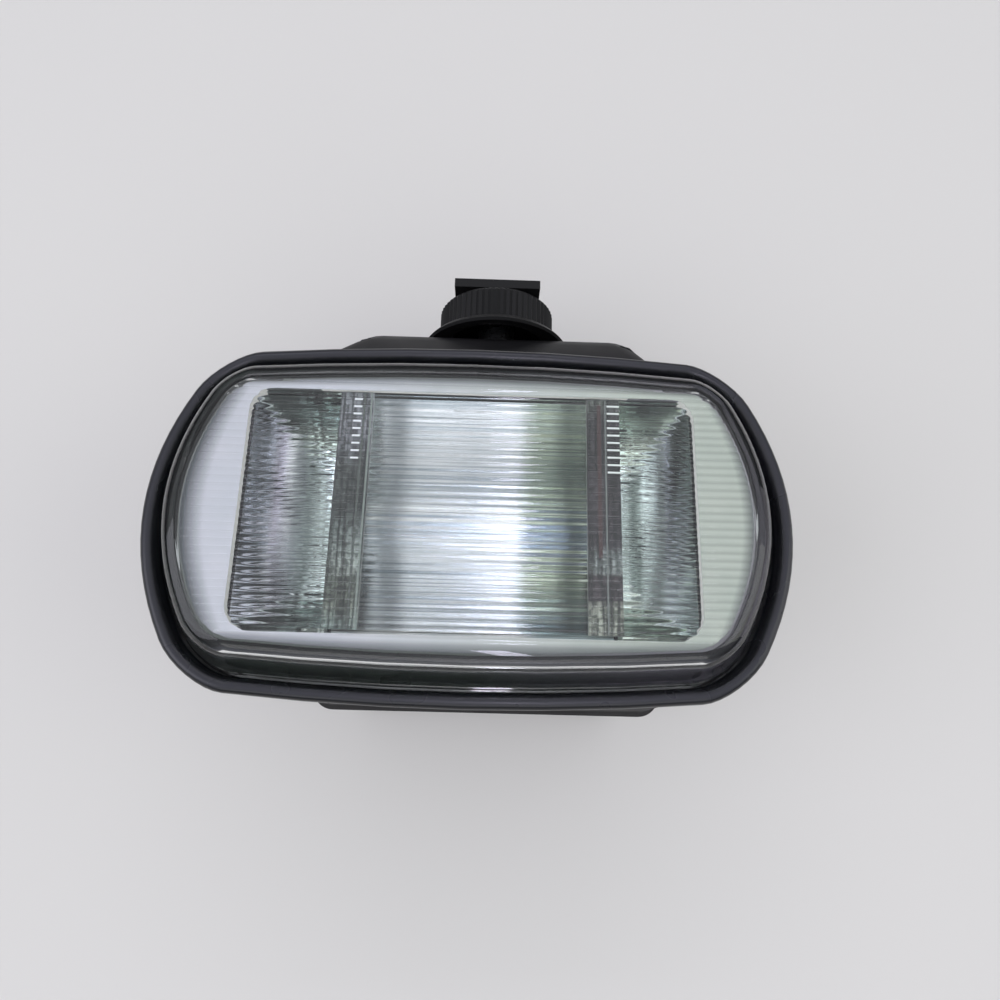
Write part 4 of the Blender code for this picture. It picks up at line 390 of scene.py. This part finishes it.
def smokedStrap(name, recipe):
    # smoke-tinted acrylic strip over the reflector's joint: the bands along its length are painted reflection,
    # its ticked lines are painted highlights, and its underside is silvered like the mirrors round it
    material, tree, place = newFinish(name)
    axes = addNode(tree, "SeparateXYZ", [place], out=None)
    along = addNode(tree, "MapRange", [axes.outputs["Y"], -recipe["half"] * mm, recipe["half"] * mm, 0.0, 1.0])
    reflectionBands = addNode(tree, "ValToRGB", [along], stops=recipe["reflectionBands"])
    streak = addNode(tree, "TexNoise", {"Scale": 1.0, "Detail": 3.0, "Vector": addNode(tree, "Mapping", {
        "Vector": place, "Scale": perMetre(recipe["streak"])})})
    grit = addNode(tree, "TexNoise", {"Scale": 1.0, "Detail": 3.0, "Vector": addNode(tree, "Mapping", {
        "Vector": place, "Scale": perMetre(recipe["grit"])})})
    # the tone starts from the painted reflection bands, then takes real scoring and dust
    paintedLightTone = reflectionBands
    for strength, pattern, colour, low, high in ((0.9, streak, recipe["scored"], 0.40, 0.60),
                                                 (0.8, grit, recipe["dusty"], 0.42, 0.58)):
        paintedLightTone = addNode(tree, "Mix", {
            0: strength, 6: paintedLightTone, 7: addNode(tree, "ValToRGB", [pattern], stops=[(low, colour), (high, "#ffffff")])},
            out=2, data_type="RGBA", blend_type="MULTIPLY")

    # a line is drawn from low to high across the strip and between its two ends, and a ticked one is broken up; the
    # near-white ticked lines are painted highlights and the reddish-brown line on the right strap is a painted
    # reflection
    tick = recipe["tick"] * mm
    ticks = addNode(tree, "Math", [axes.outputs["Y"], tick / 2], operation="PINGPONG")
    for low, high, lowEnd, highEnd, ticked, colour in recipe["lines"]:
        inside = addNode(tree, "Math", [
            axes.outputs["X"], (low + high) / 2 * mm, (high - low) / 2 * mm], operation="COMPARE")
        within = addNode(tree, "Math", [
            axes.outputs["Y"], (lowEnd + highEnd) / 2 * mm, (highEnd - lowEnd) / 2 * mm], operation="COMPARE")
        here = addNode(tree, "Math", [inside, within], operation="MULTIPLY")
        if ticked:
            here = addNode(tree, "Math", [
                here, addNode(tree, "MapRange", [ticks, 0.18 * tick, 0.30 * tick, 0.0, 1.0])], operation="MULTIPLY")
        paintedLightTone = addNode(tree, "Mix", {0: here, 6: paintedLightTone, 7: linear(colour)}, out=2, data_type="RGBA")

    face = addNode(tree, "BsdfPrincipled", {
        "Base Color": paintedLightTone, "Roughness": addNode(tree, "MapRange", [streak, *spread, *recipe["rough"]]),
        "Specular IOR Level": 0.3})
    foil = addNode(tree, "BsdfPrincipled", {
        "Base Color": addNode(tree, "ValToRGB", [streak], stops=zip(spread, recipe["foil"])), "Metallic": 0.1,
        "Roughness": addNode(tree, "MapRange", [streak, *spread, *recipe["foilRough"]])})
    under = addNode(tree, "Math", [axes.outputs["Z"], recipe["foilBelow"] * mm], operation="LESS_THAN")
    addNode(tree, "OutputMaterial", [addNode(tree, "MixShader", [under, face, foil])])
    return material


strapMoulding = {
    "half": 19.5, "tick": 1.25, "streak": [0.45, 14, 14], "grit": [0.8, 0.6, 2], "scored": "#595d5c",
    "dusty": "#6c7270", "rough": (0.30, 0.45), "foil": ("#e4e8e8", "#fbfcfb"), "foilRough": (0.42, 0.54),
    "foilBelow": 66.1}
leftStrap = smokedStrap("smokedAcrylicLeft", {
    **strapMoulding, "reflectionBands": [
        (0.00, "#93a8a2"), (1.00, "#8b8f93"), (0.10, "#7c8478"), (0.20, "#5d655c"), (0.27, "#a0aaa3"),
        (0.38, "#7c8682"), (0.48, "#3f4644"), (0.66, "#4a504e"), (0.80, "#8a8c93")],
    "lines": [(-22.7, -21.4, 7.5, 18.5, True, "#e6eaec"), (-21.2, -20.9, -19.0, 19.0, False, "#4a504d"),
              (-20.1, -19.8, -19.0, 19.0, False, "#78827c")]})
rightStrap = smokedStrap("smokedAcrylicRight", {
    **strapMoulding, "reflectionBands": [
        (0.00, "#a3a89a"), (1.00, "#6a7069"), (0.13, "#a2a698"), (0.15, "#443e42"), (0.24, "#4a4346"),
        (0.27, "#9da6a2"), (0.33, "#8c9492"), (0.37, "#413d42"), (0.90, "#3d3c3e")],
    "lines": [(18.3, 20.3, 6.0, 18.5, True, "#e2e8e3"), (16.7, 17.3, -7.0, 18.5, False, "#3f2c2b"),
              (17.9, 18.15, -19.0, 19.0, False, "#6b726f")]})


def resistedBoard(name, recipe):
    # epoxy-glass laminate under green solder resist: copper runs show as lighter lines
    material, tree, place = newFinish(name)
    runs = addNode(tree, "TexBrick", {
        "Scale": 1.0, "Color1": linear(recipe["resist"]), "Color2": linear(recipe["resistPale"]),
        "Mortar": linear(recipe["copper"]), "Mortar Size": 0.05, "Vector": addNode(tree, "Mapping", {
            "Vector": place, "Scale": perMetre(recipe["runs"])})}, out=None, offset=0.35, squash=0.7)
    addNode(tree, "OutputMaterial", [addNode(tree, "BsdfPrincipled", {
        "Base Color": runs.outputs["Color"],
        "Roughness": addNode(tree, "MapRange", [runs.outputs["Fac"], 0, 1, *recipe["rough"]])})])
    return material


def shrinkSleeve(name, recipe):
    # heat-shrunk PVC film: glossy, with a printed band round one end; a cell's steel end caps stay bare
    material, tree, place = newFinish(name)
    across = addNode(tree, "SeparateXYZ", [place], out="X")
    band = addNode(tree, "Math", [across, recipe["bandAt"] * mm, recipe["bandHalf"] * mm], operation="COMPARE")
    wrinkle = addNode(tree, "TexNoise", {"Scale": 1.0, "Detail": 2.0, "Vector": addNode(tree, "Mapping", {
        "Vector": place, "Scale": perMetre(recipe["wrinkle"])})})
    bump = addNode(tree, "Bump", {"Height": wrinkle, "Distance": recipe["depth"] * mm, "Strength": 1.0})

    # a cap is what faces along the cell or lies past the film's end
    facing = addNode(tree, "SeparateXYZ", [addNode(tree, "TexCoord", out="Normal")], out="X")
    flat = addNode(tree, "Math", [
        addNode(tree, "Math", [facing], operation="ABSOLUTE"), 0.85], operation="GREATER_THAN")
    fromMiddle = addNode(tree, "Math", [across, recipe["capMiddle"] * mm], operation="SUBTRACT")
    beyond = addNode(tree, "Math", [
        addNode(tree, "Math", [fromMiddle], operation="ABSOLUTE"), recipe["capFrom"] * mm], operation="GREATER_THAN")
    cap = addNode(tree, "Math", [flat, beyond], operation="MAXIMUM")
    film = addNode(tree, "ValToRGB", [band], stops=[(0.4, recipe["body"]), (0.6, recipe["band"])])
    steel = addNode(tree, "ValToRGB", [wrinkle], stops=zip(spread, recipe["steel"]))
    shader = addNode(tree, "BsdfPrincipled", {
        "Base Color": addNode(tree, "Mix", {0: cap, 6: film, 7: steel}, out=2, data_type="RGBA"), "Metallic": cap,
        "Roughness": addNode(tree, "MapRange", [wrinkle, *spread, *recipe["rough"]]), "Normal": bump})
    addNode(tree, "OutputMaterial", [shader])
    return material


greenBoard = resistedBoard("solderResistGreen", {
    "resist": "#0f5a2e", "resistPale": "#12663a", "copper": "#2b8a50", "runs": [9, 4, 4], "rough": (0.30, 0.42)})
sleeveFilm = {"wrinkle": [5, 1.5, 1.5], "depth": 0.02, "rough": (0.18, 0.3), "steel": ("#a9abad", "#c6c8ca")}
canSleeve = shrinkSleeve("pvcSleeveBlack", {
    **sleeveFilm, "body": "#15161a", "band": "#b9bcc0", "bandAt": -19, "bandHalf": 1.0, "capMiddle": 0,
    "capFrom": 60})
cellSleeve = shrinkSleeve("pvcSleeveCell", {
    **sleeveFilm, "body": "#23443c", "band": "#c3a04c", "bandAt": 20, "bandHalf": 4.0, "capMiddle": 1.05,
    "capFrom": 26.2})

# which nodes carry each finish
finishes = [
    (casingBlack, ["rear_shell", "front_housing", "battery_tray", "battery_door"]),
    (rimBlack, ["bezel_ring", "control_panel"]),
    (nylonBlack, ["door_latch", "foot_plate", "lock_wheel", "mode_dial", "power_switch"]),
    (windowClear, ["window"]),
    (rubberBlack, ["window_gasket"]),
    (maskSilver, ["reflector_frame"]),
    (leftStrap, ["left_mouth_strap"]),
    (rightStrap, ["right_mouth_strap"]),
    (troughMirror, ["main_reflector"]),
    (leftBowl, ["left_side_reflector"]),
    (rightBowl, ["right_side_reflector"]),
    (tubeGlass, ["flash_tube"]),
    (steelZinc, ["left_electrode", "right_electrode", "board_screw_1", "board_screw_2", "door_hinge_pin",
                 "foot_bracket", "foot_screw_1", "foot_screw_2", "foot_stem", "contact_spring", "pressure_washer",
                 "lock_pin", "shell_screw_1", "shell_screw_2", "shell_screw_3", "shell_screw_4"]),
    (siliconePale, ["left_tube_grommet", "right_tube_grommet"]),
    (sleeveWire, ["left_tube_lead", "right_tube_lead"]),
    (sensorBlack, ["light_sensor"]),
    (greenBoard, ["main_board"]),
    (canSleeve, ["main_capacitor"]),
    (ferriteGrey, ["transformer_core"]),
    (tapeYellow, ["transformer_winding", "trigger_coil"]),
    (cellSleeve, ["cell_1", "cell_2", "cell_3", "cell_4"]),
    (nickelBright, ["fixed_contact_1", "fixed_contact_2", "door_contact_1", "door_contact_2", "centre_contact",
                    "sync_socket"]),
    (acetalWhite, ["contact_insulator"]),
    (buttonOrange, ["test_button"]),
    (lensRed, ["ready_lamp"]),
]
for material, members in finishes:
    for member in members:
        for slot in nodes[member].material_slots:
            slot.material = material
print("finishes on", sum(len(members) for material, members in finishes), "nodes")


# The CAD skins are loose triangles. Where a rounded piece is seen close up, a welded copy of the same shape takes the
# light as one smooth surface, and its flat faces stay flat because the larger faces decide the normals.
smoothSkins = {
    "weld": 0.004, "ribPitch": 1.25, "ribLand": 0.25, "ribSlope": 0.28, "ribbedFace": 68.0, "nearFace": 0.25,
    "grooveAt": 0.01, "landSpare": 0.01, "underBelow": -0.8, "leanFrom": 0.001, "topFrom": 0.995, "levelFrom": 0.9999,
    "crownTilt": [(70.0, 0), (69.6, 28), (68.6, 54), (67.0, 77), (61.5, 86), (50.0, 88)],
    "members": [
        ("bezel_ring", 40, True, "black_trim"), ("window", 40, True, "clear_plastic"),
        ("front_housing", 35, True, "black_shell"), ("rear_shell", 35, True, "black_shell"),
        ("main_reflector", 35, False, "mirror_metal"), ("left_side_reflector", 30, False, "mirror_metal"),
        ("right_side_reflector", 30, False, "mirror_metal")]}


def tiltAt(steps, z):
    # the lean from upwards of the crown's skin at this height, in radians
    for (high, first), (low, second) in zip(steps, steps[1:]):
        if z > low * mm:
            return math.radians(first + (second - first) * (high - z / mm) / (high - low))
    return math.radians(steps[-1][1])


def crownNormals(mesh, recipe, normals):
    # round the window, the skin turns evenly from each facet of the outline to the next, and leans by its height
    # what faces down near the ribs isn't part of it, and what faces straight up is the flat top
    walls = [face for face in mesh.polygons if recipe["underBelow"] < face.normal.z < recipe["topFrom"] and (
        face.normal.z > recipe["leanFrom"]
        or abs(face.center.z - recipe["ribbedFace"] * mm) > recipe["nearFace"] * mm)]
    ways = {}
    for face in walls:
        way = Vector((face.normal.x, face.normal.y, 0)).normalized()
        places = [mesh.vertices[k].co for k in face.vertices]
        for k, corner in enumerate(face.vertices):
            wide = (places[k - 1] - places[k]).angle(places[(k + 1) % len(places)] - places[k], 0)
            ways[corner] = ways.get(corner, Vector()) + way * wide
    for face in walls:
        for k, corner in zip(face.loop_indices, face.vertices):
            way = ways[corner].normalized()
            if face.normal.z > recipe["leanFrom"]:
                tilt = tiltAt(recipe["crownTilt"], mesh.vertices[corner].co.z)
            else:
                tilt = math.acos(face.normal.z)
            normals[k] = Vector((way.x * math.sin(tilt), way.y * math.sin(tilt), math.cos(tilt)))


def ribNormals(mesh, recipe):
    # each rib of the window is a shallow lens, so its normals follow a wave across it; beyond the ribs it is flat
    pitch = recipe["ribPitch"] * mm
    level = recipe["ribbedFace"] * mm
    landHalf = recipe["ribLand"] / recipe["ribPitch"] / 2 + recipe["landSpare"]
    normals = [corner.vector.copy() for corner in mesh.corner_normals]
    crownNormals(mesh, recipe, normals)
    for face in mesh.polygons:
        if face.normal.z > recipe["underBelow"] or abs(face.center.z - level) > recipe["nearFace"] * mm:
            continue
        places = [mesh.vertices[mesh.loops[k].vertex_index].co for k in face.loop_indices]
        heights = [place.y for place in places]
        inGroove = face.center.z > level + recipe["grooveAt"] * mm
        onCrest = max(heights) - min(heights) < pitch / 2 and all(
            abs(height / pitch % 1 - 0.5) < landHalf for height in heights)
        slope = recipe["ribSlope"] if inGroove or onCrest else 0
        for k, height in zip(face.loop_indices, heights):
            normals[k] = Vector((0, -slope * math.sin(2 * math.pi * height / pitch), -1)).normalized()
    mesh.normals_split_custom_set([tuple(normal) for normal in normals])


def levelNormals(mesh, recipe, reach):
    # a level face stays level up to its edge, and the rounding beside it starts from there
    level = {}
    for face in mesh.polygons:
        if abs(face.normal.z) > recipe["levelFrom"]:
            for corner in face.vertices:
                level[corner] = face.normal.copy()
    normals = [corner.vector.copy() for corner in mesh.corner_normals]
    for face in mesh.polygons:
        for k, corner in zip(face.loop_indices, face.vertices):
            if corner in level and face.normal.angle(level[corner], 0) < math.radians(reach):
                normals[k] = level[corner]
    mesh.normals_split_custom_set([tuple(normal) for normal in normals])


def smoothSkin(member, degrees, byArea, recipe):
    # a copy is welded and shaded, and takes the node's place on its body
    source = nodes[member]
    skin = bpy.data.objects.new(member + "_skin", source.data.copy())
    bpy.context.scene.collection.objects.link(skin)
    bpy.ops.object.select_all(action="DESELECT")
    skin.select_set(True)
    bpy.context.view_layer.objects.active = skin
    bpy.ops.object.mode_set(mode="EDIT")
    bpy.ops.mesh.select_all(action="SELECT")
    bpy.ops.mesh.remove_doubles(threshold=recipe["weld"] * mm)
    bpy.ops.object.mode_set(mode="OBJECT")
    bpy.ops.object.shade_smooth_by_angle(angle=math.radians(degrees))
    if byArea:
        skin.modifiers.new("flats", "WEIGHTED_NORMAL").keep_sharp = True
        bpy.ops.object.modifier_apply(modifier="flats")
        levelNormals(skin.data, recipe, degrees)
    if member == "window":
        ribNormals(skin.data, recipe)
    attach(skin, source["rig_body"])
    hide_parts(member)


for member, degrees, byArea, slot in smoothSkins["members"]:
    smoothSkin(member, degrees, byArea, smoothSkins)
print("smooth skins on", len(smoothSkins["members"]), "nodes")

# Epoxy ink, pressed on with a soft pad: a matt off-white
whiteInk = mouldedPlastic("padPrintedWhite", {
    "dark": "#c9c9c4", "light": "#d8d8d3", "rough": (0.5, 0.62), "grain": 0.3, "depth": 0.003})

panelMarks = {
    "faceZ": 2.7, "rise": 0.03, "typeShare": 1.4, "curveSteps": 3,
    "dialAt": (-9.0, -13.8), "numberRadius": 10.0, "numberHeight": 1.7,
    "numbers": ["1", "2", "3", "4", "5", "6", "7"], "turnFrom": -135, "turnStep": 45,
    "words": [("OFF", 6.3, -15.9, 1.3), ("ON", 14.9, -15.9, 1.3)]}


def printMark(words, x, y, height, recipe):
    # a pad print is a thin skin of ink: it stands out from the face, which looks towards -z
    middle = (recipe["faceZ"] - recipe["rise"] / 2) * mm
    bpy.ops.object.text_add(location=(x * mm, y * mm, middle), rotation=(math.pi, 0, 0))
    mark = bpy.context.object
    mark.data.body = words
    mark.data.size = height * mm * recipe["typeShare"]  # the type size for capitals of this height
    mark.data.align_x = "CENTER"
    mark.data.align_y = "CENTER"
    mark.data.extrude = recipe["rise"] / 2 * mm
    mark.data.resolution_u = recipe["curveSteps"]
    bpy.ops.object.convert(target="MESH")
    bpy.ops.object.transform_apply(location=True, rotation=True, scale=True)
    return bpy.context.object


def joinMarks(marks, name, body, material):
    # the marks become one inked piece that rides on its body
    bpy.ops.object.select_all(action="DESELECT")
    for mark in marks:
        mark.select_set(True)
    bpy.context.view_layer.objects.active = marks[0]
    if len(marks) > 1:
        bpy.ops.object.join()
    whole = bpy.context.object
    whole.name = name
    whole.data.materials.clear()
    whole.data.materials.append(material)
    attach(whole, body)


marks = []
for k, number in enumerate(panelMarks["numbers"]):
    turn = math.radians(panelMarks["turnFrom"] + k * panelMarks["turnStep"])
    marks.append(printMark(
        number, panelMarks["dialAt"][0] + panelMarks["numberRadius"] * math.sin(turn),
        panelMarks["dialAt"][1] - panelMarks["numberRadius"] * math.cos(turn),
        panelMarks["numberHeight"], panelMarks))
for words, x, y, height in panelMarks["words"]:
    marks.append(printMark(words, x, y, height, panelMarks))
joinMarks(marks, "panel_marks", "casing", whiteInk)

dialPointer = {
    "at": (-9.0, -19.6), "size": (0.7, 3.4), "faceZ": 0.7, "rise": 0.05, "rounding": 0.02, "roundSteps": 2}
bpy.ops.mesh.primitive_cube_add(size=1, location=(
    dialPointer["at"][0] * mm, dialPointer["at"][1] * mm, (dialPointer["faceZ"] - dialPointer["rise"] / 2) * mm),
    scale=(dialPointer["size"][0] * mm, dialPointer["size"][1] * mm, dialPointer["rise"] * mm))
pointer = bpy.context.object
bpy.ops.object.transform_apply(location=True, rotation=True, scale=True)
rounding = pointer.modifiers.new("rounding", "BEVEL")
rounding.width = dialPointer["rounding"] * mm
rounding.segments = dialPointer["roundSteps"]
bpy.ops.object.modifier_apply(modifier="rounding")
joinMarks([pointer], "dial_pointer", "mode_dial", whiteInk)
print("marks printed")

# Matt emulsion on a smooth board: pale and even, with slow faint clouds
floorBoard = {"size": 6.0, "drop": 0.0002, "cloud": 300, "tones": ("#dad8d4", "#dcdad6")}
bpy.ops.mesh.primitive_plane_add(size=floorBoard["size"], location=(0, 0, -floorBoard["drop"]))
floor = bpy.context.object
floor.name = "floor"
floorPaint, floorTree, floorPlace = newFinish("mattFloorPaint")
mottle = addNode(floorTree, "TexNoise", {"Scale": 1.0, "Vector": addNode(floorTree, "Mapping", {
    "Vector": floorPlace, "Scale": perMetre([floorBoard["cloud"]] * 3)})})
addNode(floorTree, "OutputMaterial", [addNode(floorTree, "BsdfPrincipled", {
    "Base Color": addNode(floorTree, "ValToRGB", [mottle], stops=zip(spread, floorBoard["tones"])),
    "Roughness": 0.8})])
floor.data.materials.append(floorPaint)

world = bpy.data.worlds.new("studioAir")
bpy.context.scene.world = world
world.use_nodes = True
airTree = world.node_tree
airTree.nodes.clear()
# grey round the horizon and pale overhead; the camera sees one plain pale tone past the floor
studioAir = {"low": "#66696e", "high": "#d7d9df", "strength": 1.05, "background": "#e6e5e2"}
airUp = addNode(airTree, "SeparateXYZ", [addNode(airTree, "TexCoord", out="Generated")], out="Z")
airColour = addNode(airTree, "ValToRGB", [airUp], stops=[(0.15, studioAir["low"]), (0.6, studioAir["high"])])
softAir = addNode(airTree, "Background", [airColour, studioAir["strength"]])
plainAir = addNode(airTree, "Background", [linear(studioAir["background"]), 1.0])
seen = addNode(airTree, "LightPath", out="Is Camera Ray")
addNode(airTree, "OutputWorld", [addNode(airTree, "MixShader", [seen, softAir, plainAir])])

# the lamps stand outside what the flat window mirrors to the camera, and the curved trough still finds them
lampTarget = Vector((0, 0.01, 0.04))
lamps = [
    {"name": "bigSoftbox", "at": (-1.35, -0.35, 1.1), "size": (1.3, 1.3), "watts": 8, "tint": "#f3f2ff"},
    {"name": "stripOverhead", "at": (0.035, -0.26, 1.15), "size": (0.06, 0.5), "watts": 1.1, "tint": "#efeaff"},
    {"name": "sideFill", "at": (1.25, -0.2, 1.0), "size": (0.9, 0.9), "watts": 3, "tint": "#f6faee"},
    {"name": "lowFill", "at": (1.3, 0.0, 0.3), "size": (1.0, 0.5), "watts": 1.5, "tint": "#f1ecf8"},
    {"name": "frontFill", "at": (0.0, -1.15, 0.9), "size": (1.4, 0.5), "watts": 2.2, "tint": "#fbfbf4"},
    {"name": "backBar", "at": (-0.1, 1.1, 1.15), "size": (1.3, 0.35), "watts": 2.6, "tint": "#f0eef8"},
]
for lamp in lamps:
    light = bpy.data.lights.new(lamp["name"], "AREA")
    light.shape = "RECTANGLE"
    light.size, light.size_y = lamp["size"]
    light.energy = lamp["watts"]
    light.color = linear(lamp["tint"])[:3]
    holder = bpy.data.objects.new(lamp["name"], light)
    bpy.context.scene.collection.objects.link(holder)
    holder.location = lamp["at"]
    holder.rotation_euler = (lampTarget - Vector(lamp["at"])).to_track_quat("-Z", "Y").to_euler()

# solved from the photo's edges, and close enough that the near clip has to come in
view = {"at": (-0.0002, -0.02977, 0.17596), "turn": (16.146, -1.175, 1.359), "lens": 26.0, "nearClip": 0.005}
camera = bpy.data.objects.new("camera", bpy.data.cameras.new("camera"))
bpy.context.scene.collection.objects.link(camera)
camera.location = view["at"]
camera.rotation_euler = [math.radians(a) for a in view["turn"]]
camera.data.lens = view["lens"]
camera.data.clip_start = view["nearClip"]
bpy.context.scene.camera = camera
bpy.context.scene.view_settings.view_transform = "Standard"
print("stage, lamps and camera set")
